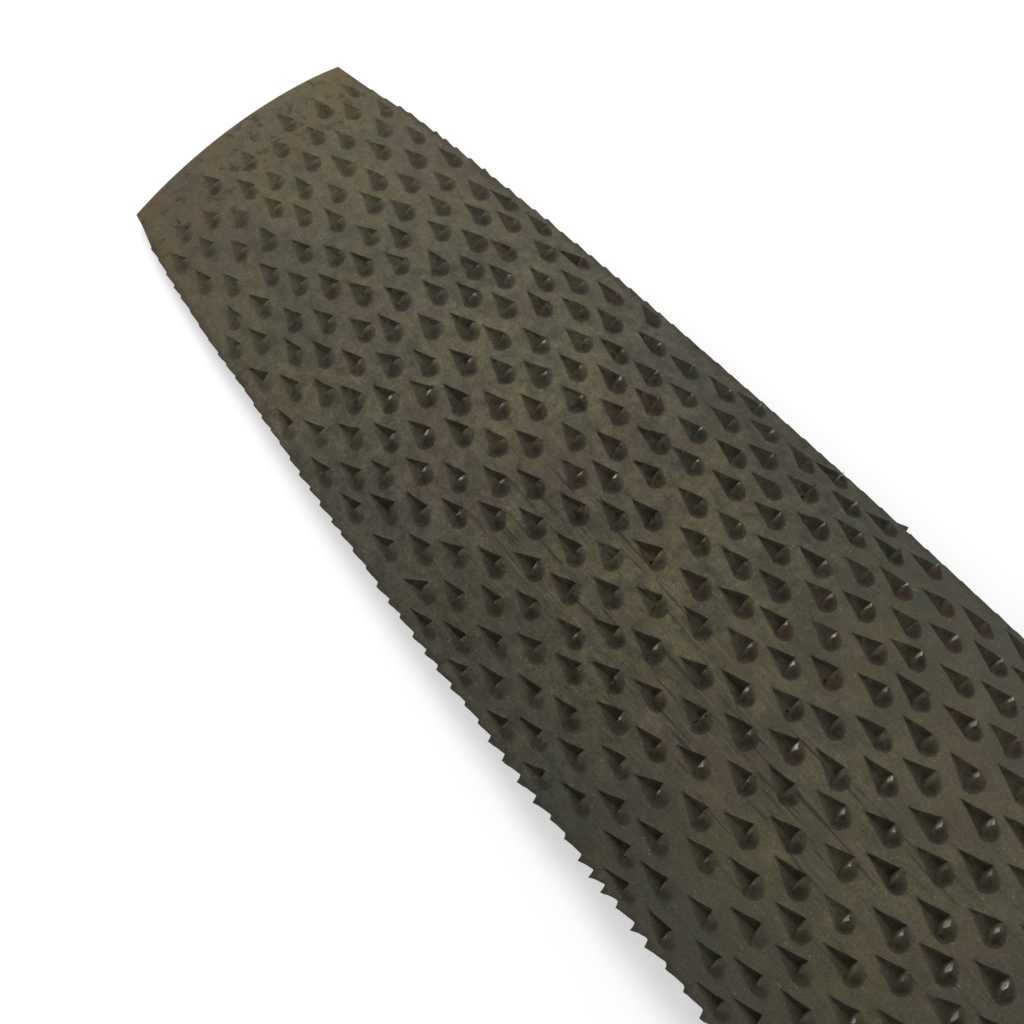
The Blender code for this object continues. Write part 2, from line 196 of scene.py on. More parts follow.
RINGS = [[(1.88, -0.53, 0.38, 0.25, 0.0), (1.93, -0.32, 0.66, 0.50, 0.2), (1.96, -0.08, 0.62, 0.95, 0.0),
          (1.96, 0.16, 0.40, 1.00, 0.0), (1.96, 0.38, 0.20, 1.00, 0.0)],
         [(2.12, -0.42, 0.24, 0.35, 0.0), (2.17, -0.18, 0.42, 0.75, 0.0), (2.19, 0.10, 0.34, 1.00, 0.0),
          (2.16, 0.34, 0.16, 1.00, 0.0)],
         [(2.34, -0.16, 0.12, 0.60, 0.0), (2.36, 0.14, 0.10, 0.85, 0.0)]]
# The land close round a tooth, as back and left alone
LAND = [(-0.14, 0.00), (0.50, -0.34), (1.04, -0.58), (1.58, -0.83), (1.90, -0.78),
        (2.25, -0.60), (2.50, -0.31), (2.61, 0.02), (2.50, 0.38), (2.27, 0.63),
        (1.95, 0.76), (1.49, 0.64), (0.96, 0.47), (0.45, 0.29)]


# %% The tooth in three degrees of detail
def whole_tooth(detail):
    """The tooth's points, the pairs of them that an edge must join, and the land round it.

    Detail 2 is for teeth seen from close by, 1 for the rest of the round face, and 0 for the flat one.
    """
    points = list(OUTLINE)
    lines = [[POINT, *RIGHT_SIDE], [POINT, *reversed(LEFT_SIDE)], [RIGHT_SIDE[-1], *FOOT, LEFT_SIDE[0]],
             [POINT, *SPINE, FOOT[2]], CREST]
    if detail > 1:
        lines.append(CREST_BACK)
    pairs = []
    for line in lines:
        numbers = []
        for place in line:
            if place not in points:
                points.append(place)
            numbers.append(points.index(place))
        pairs += list(zip(numbers, numbers[1:]))
    points += RINGS[0]
    if detail > 0:
        points += PIT + RINGS[1]
    if detail > 1:
        points += RINGS[2]
    guard = LAND if detail > 1 else LAND[::3] if detail > 0 else []
    return points, pairs, guard


SIMPLE_TOOTH, MIDDLING_TOOTH, FINE_TOOTH = (whole_tooth(detail) for detail in range(3))
print("points in a tooth, simple, middling and fine:",
      [len(points) + len(guard) for points, pairs, guard in (SIMPLE_TOOTH, MIDDLING_TOOTH, FINE_TOOTH)])

# %% [markdown]
# ## Rows of teeth, struck by hand
#
# The rows slant across the blade. Inside a row the step is fairly even, because the worker sets
# each tooth by the last one, but every row starts where it happens to start. So the pattern is
# ordered along the rows and loose across them. A tooth that would fall just past the edge is
# pulled in beside it, because a worker fills the rows up to the edge.

# %% Where the teeth stand
MILLIMETRE = 0.001
ROW_ANGLE, ROW_GAP, ROW_STEP = math.radians(41.6), 0.00231, 0.00240
ROW_DRIFT, ROW_UNEVEN, GAP_UNEVEN, STEP_UNEVEN = -0.1, 0.17, 0.02, 0.03
FLAT_CUT_SHARE = 1.16
EDGE_MARGIN, TIP_MARGIN, HEEL_MARGIN = 0.00088, 0.00155, 1.4 * MILLIMETRE
PULLED_IN = 0.4 * MILLIMETRE


def tooth_places(half_width, scale):
    """The foot of each tooth's wall, as (along, across), row by row from the tip to the heel."""
    gap, normal = ROW_GAP * scale, (math.sin(ROW_ANGLE), math.cos(ROW_ANGLE))
    first, last = TIP_LINE_X - TIP_MARGIN, HEEL_LINE_X + HEEL_MARGIN
    widest = half_width(last)
    level, phase, places = first * normal[0] + widest * normal[1], 0.0, []
    while level > last * normal[0] - widest * normal[1]:
        step = ROW_STEP * scale * (1 + STEP_UNEVEN * chance.gauss(0, 1))
        start = (level * normal[1] - widest) / normal[0]
        for number in range(int(2 * widest / normal[0] / step) + 2):
            run = start + (number + phase) * step
            along, across = level * normal[0] + run * normal[1], level * normal[1] - run * normal[0]
            limit = half_width(along) - EDGE_MARGIN
            if limit < abs(across) < limit + PULLED_IN:
                across = math.copysign(limit, across)
            if last < along < first and abs(across) <= limit:
                places.append((along, across))
        level -= gap * (1 + GAP_UNEVEN * chance.gauss(0, 1))
        phase = (phase + chance.gauss(ROW_DRIFT, ROW_UNEVEN)) % 1
    return places


# %% [markdown]
# ## The errors of a hand-held punch
#
# A blow that lands hard makes a longer and deeper tooth, so length and depth share one random
# number, and width and height have their own. A few crests are broken or torn. Near the edges,
# where the face falls away under the punch, the teeth are turned more, and toward the tip they
# are worn low. A tooth that would touch a neighbour stays nearer to its place in the row, or is
# left out. The teeth by the left edge get less dirt and painted shade on their mounds, and less
# wear and painted highlight on their crests.

# %% One blow of the punch
TOOTH_HEIGHT, PIT_DEPTH, PIT_LENGTH = 0.00042, 0.00046, 0.00162
WORN_LENGTH, WORN_SHARE = 0.028, 0.30
SMALL_LENGTH, SMALL_SHARE, LARGEST_SHARE, USUAL_SHARE = 0.024, 0.87, 1.02, 0.96
TURN, TURN_ERROR, EDGE_TURN_ERROR, EDGE_ZONE, EDGE_NARROWING = 0.5, 3.5, 4.5, 0.0022, 0.12
SIZE_ERROR, DEPTH_ERROR, HEIGHT_ERROR, LEAN_ERROR = 0.05, 0.14, 0.18, 0.10
LENGTH_LIMITS, WIDTH_LIMITS, HEIGHT_LIMITS = (-2, 1.6), (-2, 1.2), (-2, 2)
BROKEN_TEETH, BROKEN_SHARES = 0.06, (0.2, 0.6)
TORN_TEETH, TORN_ROUGHNESS = 0.15, 2.4
LEFT_FADE_SHARE, LEFT_FADE_FROM, LEFT_FADE_WIDTH = 0.45, 1.5, 4.0


def clamped(value, low, high):
    return max(low, min(high, value))


def wear(x):
    """What is left of a tooth: little at the tip, where a rasp works hardest."""
    return WORN_SHARE + (1 - WORN_SHARE) * min(1.0, max(0.0, TIP_X - x) / WORN_LENGTH)


def tooth_size(x):
    """Small at the tip, largest some way behind it, and then as usual."""
    from_tip = (TIP_X - x) / SMALL_LENGTH
    growing = between(SMALL_SHARE, LARGEST_SHARE, from_tip)
    return min(growing, max(USUAL_SHARE, between(LARGEST_SHARE, USUAL_SHARE, from_tip - 1)))


def one_tooth(along, across, room):
    """A tooth's turn, shares of the usual sizes, and state, before it has a place."""
    hit, at_edge = chance.gauss(0, 1), max(0.0, 1 - (room - EDGE_MARGIN) / EDGE_ZONE)
    size = tooth_size(along)
    tooth = {
        "turn": math.radians(chance.gauss(TURN, TURN_ERROR + EDGE_TURN_ERROR * at_edge)),
        "long": size * (1 + SIZE_ERROR * clamped(hit, *LENGTH_LIMITS)),
        "wide": size * (1 + SIZE_ERROR * clamped(chance.gauss(0, 1), *WIDTH_LIMITS)
                        - EDGE_NARROWING * at_edge),
        "depth": PIT_DEPTH * (1 + DEPTH_ERROR * hit),
        "height": TOOTH_HEIGHT * (1 + HEIGHT_ERROR * clamped(chance.gauss(0, 1), *HEIGHT_LIMITS)),
        "lean": LEAN_ERROR * chance.gauss(0, 1),
        "kept": between(1.0, LEFT_FADE_SHARE, clamped(across / MILLIMETRE / LEFT_FADE_WIDTH - LEFT_FADE_FROM, 0.0, 1.0)),
        "rough": TORN_ROUGHNESS if chance.random() < TORN_TEETH else 1.0,
        "tint": chance.random()}
    if chance.random() < BROKEN_TEETH:
        tooth["height"] *= chance.uniform(*BROKEN_SHARES)
    return tooth


# %% Strike the teeth
SLIP_ALONG, SLIP_ACROSS = 0.22, 0.18
TOOTH_REACH, TOOTH_ROOM, NEIGHBOURS = 2.95 * MILLIMETRE, 1.58 * MILLIMETRE, 40


def too_near(here, there):
    """Whether two teeth, which are long and narrow drops, would touch."""
    along, across = abs(here["along"] - there["along"]), abs(here["across"] - there["across"])
    reach = along / TOOTH_REACH
    return reach < 1 and across < TOOTH_ROOM * (1 - reach ** 2)


def struck(places, half_width):
    """The teeth of a face, each a little off its place in the rows."""
    teeth, left_out = [], 0
    for along, across in places:
        tooth = one_tooth(along, across, half_width(along) - abs(across))
        slip_along = chance.uniform(-SLIP_ALONG, SLIP_ALONG) * MILLIMETRE
        slip_across = chance.uniform(-SLIP_ACROSS, SLIP_ACROSS) * MILLIMETRE
        limit = half_width(along) - EDGE_MARGIN
        for share in (1.0, 0.5, 0.0):
            tooth["along"] = min(along + share * slip_along, TIP_LINE_X - TIP_MARGIN)
            tooth["across"] = clamped(across + share * slip_across, -limit, limit)
            if not any(too_near(tooth, other) for other in teeth[-NEIGHBOURS:]):
                teeth.append(tooth)
                break
        else:
            left_out += 1
    print("teeth struck:", len(teeth), "left out for want of room:", left_out)
    return teeth


round_teeth = struck(tooth_places(half_arc, 1.0), half_arc)
flat_teeth = struck(tooth_places(half_chord, FLAT_CUT_SHARE), half_chord)

# %% [markdown]
# ## A net of triangles over a face
#
# Each face is a flat drawing at first: its outline, the points of all its teeth, and the lines
# that must stay edges, such as crests. A constrained Delaunay triangulation fills the drawing
# with well-shaped triangles in one step. The points are then put on the curved face and raised
# or sunk. This gives a single closed skin with sharp teeth, with no grid lines and no Booleans.
#
# The land between the teeth isn't perfectly even, so its points rise and fall by a few
# hundredths of a millimetre.

# %% Points of the faces
LAND_UNEVEN, WAVES_ALONG, WAVES_ACROSS, WAVE_SLICE = 0.000028, 180, 260, 3.0
TOOTH_UNEVEN, CREST_UNEVEN, EVEN_BELOW = 0.027, 0.16, 0.1
MOUND_FROM, PIT_DARKENING, SHALLOW_DARKENING = 1.85, 0.73, 0.4
DARKENING_FROM, DARKENING_FULL = 0.20, 0.70
vertices, looks, faces = [], [], []


def add_vertex(place, dirt_and_shade=0.0, wear_and_glint=0.0, tint=0.5):
    vertices.append(place)
    looks.append((dirt_and_shade, wear_and_glint, tint))
    return len(vertices) - 1


def unevenness(x, across):
    return LAND_UNEVEN * noise.noise(Vector((x * WAVES_ALONG, across * WAVES_ACROSS, WAVE_SLICE)))


def on_face(tooth, back, left):
    """Where a point of the tooth's drawing comes on the face."""
    cosine, sine = math.cos(tooth["turn"]), math.sin(tooth["turn"])
    u = (back * MILLIMETRE - PIT_LENGTH) * tooth["long"]
    v = left * MILLIMETRE * tooth["wide"] * (1 + tooth["lean"] * math.copysign(1, left))
    return tooth["along"] - (u * cosine - v * sine), tooth["across"] + (u * sine + v * cosine)


def add_tooth(tooth, points, surface, inner, numbers):
    """One tooth's points into the drawing of a face, with their heights and looks."""
    left = wear(tooth["along"])
    darkening_left = SHALLOW_DARKENING + (1 - SHALLOW_DARKENING) * left
    for back, aside, height, dirt_and_shade, wear_and_glint in points:
        back_here = back + TOOTH_UNEVEN * chance.uniform(-1, 1)
        x, across = on_face(tooth, back_here, aside + TOOTH_UNEVEN * chance.uniform(-1, 1))
        lift = height * (tooth["height"] if height > 0 else tooth["depth"]) * left
        if abs(height) > EVEN_BELOW:
            lift *= 1 + CREST_UNEVEN * tooth["rough"] * chance.uniform(-1, 1) + tooth["lean"] * aside
        # The first look is dirt and painted shade, the second wear and a painted highlight. By the left edge
        # the mound's shade and the crest's highlight are weaker, and toward the tip both fade.
        dirt_and_shade *= tooth["kept"] if back > MOUND_FROM else PIT_DARKENING
        inner.append((x, across))
        numbers.append(add_vertex(surface(x, across, lift + unevenness(x, across)),
                                  between(DARKENING_FROM, DARKENING_FULL, dirt_and_shade * darkening_left),
                                  wear_and_glint * tooth["kept"] * left ** 2, tooth["tint"]))


# %% The land between the teeth
TOOTH_MIDDLE, HAIR = 1.4, 1.07
GROWN_OUTLINE = [(TOOTH_MIDDLE + HAIR * (back - TOOTH_MIDDLE), HAIR * left) for back, left, *_ in OUTLINE]
FAR_ALONG, FAR_ASIDE = 2.4 * MILLIMETRE, 1.3 * MILLIMETRE
CROWD_LENGTH = 0.003
END_CLEAR, SIDE_CLEAR = 0.1 * MILLIMETRE, 0.2 * MILLIMETRE
HEEL_LINES, HEEL_SIDE_STEPS = 11, 10


def covers(tooth, x, across):
    """Whether a place lies inside the tooth's outline, or within a hair of it."""
    ahead, aside = tooth["along"] - x, across - tooth["across"]
    if abs(ahead) > FAR_ALONG or abs(aside) > FAR_ASIDE:
        return False
    cosine, sine = math.cos(tooth["turn"]), math.sin(tooth["turn"])
    u, v = ahead * cosine + aside * sine, aside * cosine - ahead * sine
    back = (u / tooth["long"] + PIT_LENGTH) / MILLIMETRE
    left = v / MILLIMETRE / (tooth["wide"] * (1 + tooth["lean"] * math.copysign(1, v)))
    inside = False
    for here, there in zip(GROWN_OUTLINE, GROWN_OUTLINE[1:] + GROWN_OUTLINE[:1]):
        if (here[1] > left) != (there[1] > left):
            share = (left - here[1]) / (there[1] - here[1])
            inside ^= between(here[0], there[0], share) > back
    return inside


def heel_points(half_width):
    """A loose grid over the bare heel, which has no teeth to give it points."""
    points = []
    for step in range(1, HEEL_LINES + 1):
        x = SHOULDER_X + (HEEL_LINE_X - SHOULDER_X) * step / (HEEL_LINES + 0.5)
        points += [(x, side_step / HEEL_SIDE_STEPS * half_width(x))
                   for side_step in range(1 - HEEL_SIDE_STEPS, HEEL_SIDE_STEPS)]
    return points


def add_land(land, half_width, surface, teeth, inner, numbers):
    """The land's own points into the drawing, where no tooth covers them."""
    crowd = {}
    for tooth in teeth:
        crowd.setdefault(int(tooth["along"] / CROWD_LENGTH), []).append(tooth)
    for x, across in land:
        cell = int(x / CROWD_LENGTH)
        near = [tooth for n in (cell - 1, cell, cell + 1) for tooth in crowd.get(n, [])]
        inside = SHOULDER_X < x < TIP_LINE_X - END_CLEAR and abs(across) < half_width(x) - SIDE_CLEAR
        if inside and not any(covers(tooth, x, across) for tooth in near):
            inner.append((x, across))
            numbers.append(add_vertex(surface(x, across, unevenness(x, across))))


# %% Fill a face with triangles
# Where the land between teeth gets its own points: ahead of a tooth and to its left, in millimetres
BETWEEN_TEETH = ((-1.62, 0.10), (0.72, 0.86))


def add_face(loop, half_width, surface, teeth, template_at, upward):
    """Triangles over the outline that these vertices make, with every tooth inside it."""
    outline = [place for number, place in loop]
    numbers, inner, pairs, land = [number for number, place in loop], [], [], []
    for tooth in teeth:
        points, joined, guard = template_at(tooth["along"])
        pairs += [(len(numbers) + a, len(numbers) + b) for a, b in joined]
        add_tooth(tooth, points, surface, inner, numbers)
        land += [on_face(tooth, back, left) for back, left in guard]
        land += [(tooth["along"] + ahead * MILLIMETRE, tooth["across"] + aside * MILLIMETRE)
                 for ahead, aside in BETWEEN_TEETH]
    add_land(land + heel_points(half_width), half_width, surface, teeth, inner, numbers)
    points = [Vector(place) for place in outline + inner]
    found = delaunay_2d_cdt(points, pairs, [list(range(len(outline)))], 1, 0.0)
    if len(found[0]) != len(points):
        raise ValueError(f"teeth cross: {len(found[0])} points from {len(points)}")
    for triangle in found[2]:
        made = [numbers[found[3][corner][0]] for corner in triangle]
        faces.append(made if upward else made[::-1])


# %% [markdown]
# ## The toothed edges
#
# Both edges carry small teeth too, so that the side of the rasp can cut. Each is a short saw
# tooth with its steep side toward the tip. The edge is a narrow upright band between two
# lines, and both lines go in and out together, the lower one a little less. The left edge is
# toothed more boldly than the right one, which is worn nearly plain but for a single burr.

# %% How boldly each edge is toothed
LEFT_SHARES, LEFT_FULL_FROM_TIP = (0.26, 1.0), 55
RIGHT_SHARES, RIGHT_FALLS_FROM, RIGHT_FALL_LENGTH = (0.36, 0.11), 18, 20
FLARE, FLARE_FROM, FLARE_RISE, FLARE_TO, FLARE_FALL = 0.00022, 1.4, 2.5, 16.0, 4.0


def edge_share(x, side):
    """How much of a full edge tooth is left: less toward the tip, and little on the right side."""
    from_tip = (TIP_X - x) / MILLIMETRE
    if side > 0:
        return between(*LEFT_SHARES, min(1.0, from_tip / LEFT_FULL_FROM_TIP) ** 2)
    return between(*RIGHT_SHARES, clamped((from_tip - RIGHT_FALLS_FROM) / RIGHT_FALL_LENGTH, 0.0, 1.0))


def flare(x, side):
    """The left edge stands out a little behind the tip's corner, where it was never ground back."""
    if side < 0:
        return 0.0
    from_tip = (TIP_X - x) / MILLIMETRE
    rise, fall = (from_tip - FLARE_FROM) / FLARE_RISE, (FLARE_TO - from_tip) / FLARE_FALL
    return FLARE * max(0.0, min(1.0, rise, fall))


# %% Teeth along an edge
EDGE_PITCH, EDGE_TOOTH_HEIGHT = 0.00126, 0.00043
EDGE_HEIGHT_SHARES = (0.55, 0.8, 0.9, 1.0, 1.1)
TIP_PITCH_SHARE, PITCH_UNEVEN, EDGE_UNEVEN = 0.8, 0.22, 0.10
PLAIN_PITCHES, EDGE_WORN = 2.2, 0.3
#            share of the pitch, share of the height
EDGE_TOOTH = [(0.00, 0.00), (0.20, 0.23), (0.42, 0.48), (0.62, 0.75),
              (0.79, 1.00), (0.83, 0.52), (0.90, 0.03)]
BURR = [(0.00, 0.00), (0.08, 0.03), (0.12, 0.95), (0.19, 1.00), (0.38, 0.60), (0.62, 0.16), (0.75, 0.02)]
BURR_X, BURR_HEIGHT = 0.1893, 0.00025


def edge_profile(side):
    """Places along one edge, each with how far it stands out and how worn it is."""
    profile = [(SHOULDER_X, 0.0, 0.0), (SHOULDER_X / 3, 0.0, 0.0), (HEEL_LINE_X / 2, 0.0, 0.0)]
    x = HEEL_LINE_X
    while x < TIP_LINE_X - PLAIN_PITCHES * EDGE_PITCH:
        even_pitch = EDGE_PITCH * between(TIP_PITCH_SHARE, 1.0, wear(x))
        pitch = even_pitch * (1 + PITCH_UNEVEN * chance.uniform(-1, 1))
        height = EDGE_TOOTH_HEIGHT * chance.choice(EDGE_HEIGHT_SHARES) * edge_share(x, side)
        burred = side < 0 and x <= BURR_X < x + pitch
        if burred:
            height = BURR_HEIGHT
        for share, rise in BURR if burred else EDGE_TOOTH:
            out = rise * height * (1 + EDGE_UNEVEN * chance.uniform(-1, 1)) + flare(x, side)
            profile.append((x + share * pitch, out, EDGE_WORN * rise))
        x += pitch
    profile.append((TIP_LINE_X, 0.0, 0.0))
    return profile


# %% The lines of both edges
# The upright edge band is darkened all along, through the same look that holds the teeth's dirt and painted
# shade.
EDGE_DARKENING, LOWER_SHARE = 0.4, 0.1

edge_lines = {}
for side in (-1, 1):
    upper, lower, drawn = [], [], []
    for x, stand_out, wear_and_glint in edge_profile(side):
        y = side * (blade_width(x) / 2 + stand_out)
        lower_y = y - side * LOWER_SHARE * stand_out
        upper.append(add_vertex((x, y, EDGE_THICKNESS), EDGE_DARKENING, wear_and_glint))
        lower.append(add_vertex((x, lower_y, 0.0), EDGE_DARKENING, wear_and_glint))
        drawn.append(((x, side * (half_arc(x) + stand_out)), (x, lower_y)))
    edge_lines[side] = (upper, lower, drawn)
print("points along an edge:", len(edge_lines[1][0]))

# %% [markdown]
# ## Ends of the blade
#
# The tip is cut square, and its right corner is rubbed a little round. At the other end the bare
# heel narrows through the shoulders into the tang, which is a forged bar with a slightly round
# top. Both ends are lofts: rings with the same number of points, joined ring to ring.

# %% Skin of both faces and the edges
ARC_STEPS, ARC_WORN = 24, 0.15
FINE_FROM_X = 0.158


def arc(x):
    """Vertex numbers across the round face at x, without its two ends, and their places in the drawing."""
    made = []
    for step in range(1, ARC_STEPS):
        across = (2 * step / ARC_STEPS - 1) * half_arc(x)
        made.append((add_vertex(on_round_face(x, across), 0.0, ARC_WORN), (x, across)))
    return made


tip_arc, heel_arc = arc(TIP_LINE_X), arc(SHOULDER_X)
(right_upper, right_lower, right_drawn), (left_upper, left_lower, left_drawn) = edge_lines[-1], edge_lines[1]
right = [(number, drawn[0]) for number, drawn in zip(right_upper, right_drawn)]
left = [(number, drawn[0]) for number, drawn in zip(left_upper, left_drawn)]
add_face(right + tip_arc + left[::-1] + heel_arc[::-1], half_arc, on_round_face, round_teeth,
         lambda x: FINE_TOOTH if x > FINE_FROM_X else MIDDLING_TOOTH, True)
right = [(number, drawn[1]) for number, drawn in zip(right_lower, right_drawn)]
left = [(number, drawn[1]) for number, drawn in zip(left_lower, left_drawn)]
add_face(right + left[::-1], half_chord, on_flat_face, flat_teeth, lambda x: SIMPLE_TOOTH, False)
for upper, lower, outward in ((right_upper, right_lower, False), (left_upper, left_lower, True)):
    for n in range(len(upper) - 1):
        quad = [lower[n], lower[n + 1], upper[n + 1], upper[n]]
        faces.append(quad[::-1] if outward else quad)
print("triangles so far:", sum(len(face) - 2 for face in faces))

# %% Rings across the shoulders and the tang
SHOULDER_LENGTH, TANG_LENGTH = 0.010, 0.066
TANG_ROOT_WIDTH, TANG_ROOT_THICKNESS = 0.0088, 0.0054
TANG_END_WIDTH, TANG_END_THICKNESS = 0.0042, 0.0030
TANG_AXIS_HEIGHT, TANG_CROWN_SHARE = 0.0034, 0.12
TANG_ROOT_X = SHOULDER_X - SHOULDER_LENGTH


def ease(share):
    return (1 - math.cos(math.pi * share)) / 2


def section(x, width, bottom, side, crown):
    """A ring with a flat bottom, upright sides and a round top, from the right side to the left."""
    radius = arc_radius(width, crown)
    widest = math.asin(min(1.0, width / 2 / radius))
    ring = [(x, -width / 2, bottom), (x, -width / 2, bottom + side)]
    for step in range(1, ARC_STEPS):
        angle = (2 * step / ARC_STEPS - 1) * widest
        ring.append((x, radius * math.sin(angle), bottom + side + crown - radius + radius * math.cos(angle)))
    return ring + [(x, width / 2, bottom + side), (x, width / 2, bottom)]


def tang_section(x, grow=0.0):
    share = (TANG_ROOT_X - x) / TANG_LENGTH
    width = between(TANG_ROOT_WIDTH, TANG_END_WIDTH, share) + 2 * grow
    thickness = between(TANG_ROOT_THICKNESS, TANG_END_THICKNESS, share) + 2 * grow
    crown = thickness * TANG_CROWN_SHARE
    return section(x, width, TANG_AXIS_HEIGHT - thickness / 2, thickness - crown, crown)


def add_loft(ring, rings, wear_and_glint=0.0):
    """Quads from one ring of vertex numbers through further rings of points, closed at the end."""
    for points in rings:
        following = [add_vertex(place, 0.0, wear_and_glint) for place in points]
        for here in range(len(ring)):
            beyond = (here + 1) % len(ring)
            faces.append((ring[here], ring[beyond], following[beyond], following[here]))
        ring = following
    faces.append(tuple(reversed(ring)))


# %% Loft the shoulders and the tang
SHOULDER_STEPS, TANG_STEPS = 16, 10

root_crown = TANG_ROOT_THICKNESS * TANG_CROWN_SHARE
root_bottom = TANG_AXIS_HEIGHT - TANG_ROOT_THICKNESS / 2
rings = []
for step in range(1, SHOULDER_STEPS):
    soft = ease(step / SHOULDER_STEPS)
    rings.append(section(SHOULDER_X - SHOULDER_LENGTH * step / SHOULDER_STEPS,
                         between(BLADE_WIDTH, TANG_ROOT_WIDTH, soft), between(0.0, root_bottom, soft),
                         between(EDGE_THICKNESS, TANG_ROOT_THICKNESS - root_crown, soft),
                         between(CROWN_HEIGHT, root_crown, soft)))
rings += [tang_section(TANG_ROOT_X - TANG_LENGTH * step / TANG_STEPS) for step in range(TANG_STEPS + 1)]
heel = [number for number, place in heel_arc]
add_loft([right_lower[0], right_upper[0], *heel, left_upper[0], left_lower[0]], rings)

# %% Close the tip, and rub its corner
TIP_ROUND, TIP_WORN = 0.00016, 0.3
RUBBED_LENGTH, RUBBED_DEPTH, RUBBED_POWER = 0.0070, 0.00035, 4
# Shares of the rounding: back from the tip, narrower, up from below, down at the edge and at the crown
TIP_RINGS = ((1.0, 0.0, 0.0, 0.0, 0.0), (0.3, 0.6, 0.3, 0.45, 0.15), (0.0, 2.0, 1.0, 1.5, 0.5))

tip = [number for number, place in tip_arc]
tip_rings = []
for back, narrower, up, edge_down, crown_down in TIP_RINGS:
    ring = section(TIP_X - back * TIP_ROUND, blade_width(TIP_X) - narrower * TIP_ROUND, up * TIP_ROUND,
                   EDGE_THICKNESS - edge_down * TIP_ROUND, TIP_CROWN_HEIGHT - crown_down * TIP_ROUND)
    tip_rings.append(ring[::-1])
add_loft([left_lower[-1], left_upper[-1], *tip[::-1], right_upper[-1], right_lower[-1]], tip_rings, TIP_WORN)

for number, (x, y, z) in enumerate(vertices):
    near_tip = max(0.0, 1 - ((TIP_X - x) / RUBBED_LENGTH) ** 2)
    near_corner = near_tip * max(0.0, -2 * y / TIP_WIDTH) ** RUBBED_POWER
    vertices[number] = (x, y + RUBBED_DEPTH * near_corner, z)
print("triangles in the blade:", sum(len(face) - 2 for face in faces))

# %% [markdown]
# ## From lists to an object
#
# The lists of points and faces become one mesh. Its three looks go with it as attributes on
# the points, so the material can lay dirt and painted shade in and beside the pits, and wear and
# a painted highlight on the crests, without any texture. Faces that meet at a small angle are
# shaded smooth, and crests stay sharp.

# %% Make the blade's object
CREST_ANGLE = math.radians(42)


def make_object(name, places, made_faces, node, sharp_angle, attributes):
    """A mesh object that rides on the root body and hides the CAD node that it stands for."""
    mesh = bpy.data.meshes.new(name)
    mesh.from_pydata(places, [], made_faces)
    mesh.validate()
    shape = bmesh.new()
    shape.from_mesh(mesh)
    bmesh.ops.recalc_face_normals(shape, faces=shape.faces)
    open_edges = sum(1 for edge in shape.edges if len(edge.link_faces) != 2)
    shape.to_mesh(mesh)
    shape.free()
    for label, values in attributes.items():
        layer = mesh.attributes.new(label, "FLOAT", "POINT")
        layer.data.foreach_set("value", values)
    mesh.shade_smooth()
    mesh.set_sharp_from_angle(angle=sharp_angle)
    made = bpy.data.objects.new(name, mesh)
    bpy.context.scene.collection.objects.link(made)
    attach(made, "root")
    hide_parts(node)
    print(name, len(mesh.vertices), "vertices,", len(mesh.polygons), "faces,", open_edges, "open edges")
    return made


blade = make_object("toothed_blade", vertices, faces, "rasp_blade", CREST_ANGLE,
                    {"dirt_and_shade": [look[0] for look in looks], "wear_and_glint": [look[1] for look in looks],
                     "tint": [look[2] for look in looks]})

# %% [markdown]
# ## The turned pieces
#
# Handle and ferrule are turned on a lathe, so each is an outline spun round the tang's line.
# The outline is the one that the CAD part has, drawn with more points so that it looks smooth
# from close by. Small waves in the wood keep the handle from looking machine-made.

# %% Spin an outline
NOSE_RADIUS = 0.0082
TURNED_SIDES, WAVES_PER_METRE, WAVES_ROUND = 96, 90, 1.4


def spun(outline, ring_shaped, uneven=0.0):
    """Points, faces and looks of a body of revolution. Each outline point is (x, radius, how dark, how worn).
    """
    places, made, dirt_and_shade, wear_and_glint = [], [], [], []
    for x, radius, hollow_here, worn_here in outline:
        for side in range(TURNED_SIDES):
            angle = 2 * math.pi * side / TURNED_SIDES
            y, z = math.sin(angle), math.cos(angle)
            wave = uneven * noise.noise(Vector((x * WAVES_PER_METRE, y * WAVES_ROUND, z * WAVES_ROUND)))
            reach = radius + wave * min(1.0, radius / NOSE_RADIUS)
            places.append((x, reach * y, TANG_AXIS_HEIGHT + reach * z))
            dirt_and_shade.append(hollow_here)
            wear_and_glint.append(worn_here)
    steps = len(outline)
    for step in range(steps if ring_shaped else steps - 1):
        here, there = step * TURNED_SIDES, (step + 1) % steps * TURNED_SIDES
        for side in range(TURNED_SIDES):
            beyond = (side + 1) % TURNED_SIDES
            made.append((here + side, there + side, there + beyond, here + beyond))
    if not ring_shaped:
        made.append(tuple(range(TURNED_SIDES)))
        made.append(tuple(reversed(range((steps - 1) * TURNED_SIDES, steps * TURNED_SIDES))))
    return places, made, dirt_and_shade, wear_and_glint


def eased_run(start, end, steps, dirt_and_shade=0.0, wear_and_glint=0.0):
    return [(between(start[0], end[0], n / steps), between(start[1], end[1], ease(n / steps)), dirt_and_shade, wear_and_glint)
            for n in range(1, steps + 1)]


def quarter_round(start, end, steps, dirt_and_shade=0.0, wear_and_glint=0.0):
    """Round a quarter of an ellipse that leaves its start along the body."""
    points = []
    for step in range(1, steps + 1):
        turn = math.pi / 2 * step / steps
        points.append((between(start[0], end[0], math.sin(turn)),
                       between(end[1], start[1], math.cos(turn)), dirt_and_shade, wear_and_glint))
    return points


# %% [markdown]
# ## The ferrule
#
# A ferrule is a short tube drawn from sheet, with its front folded in over the wood and a
# rolled bead near its back that stiffens the rim. The folded front is rubbed bright.

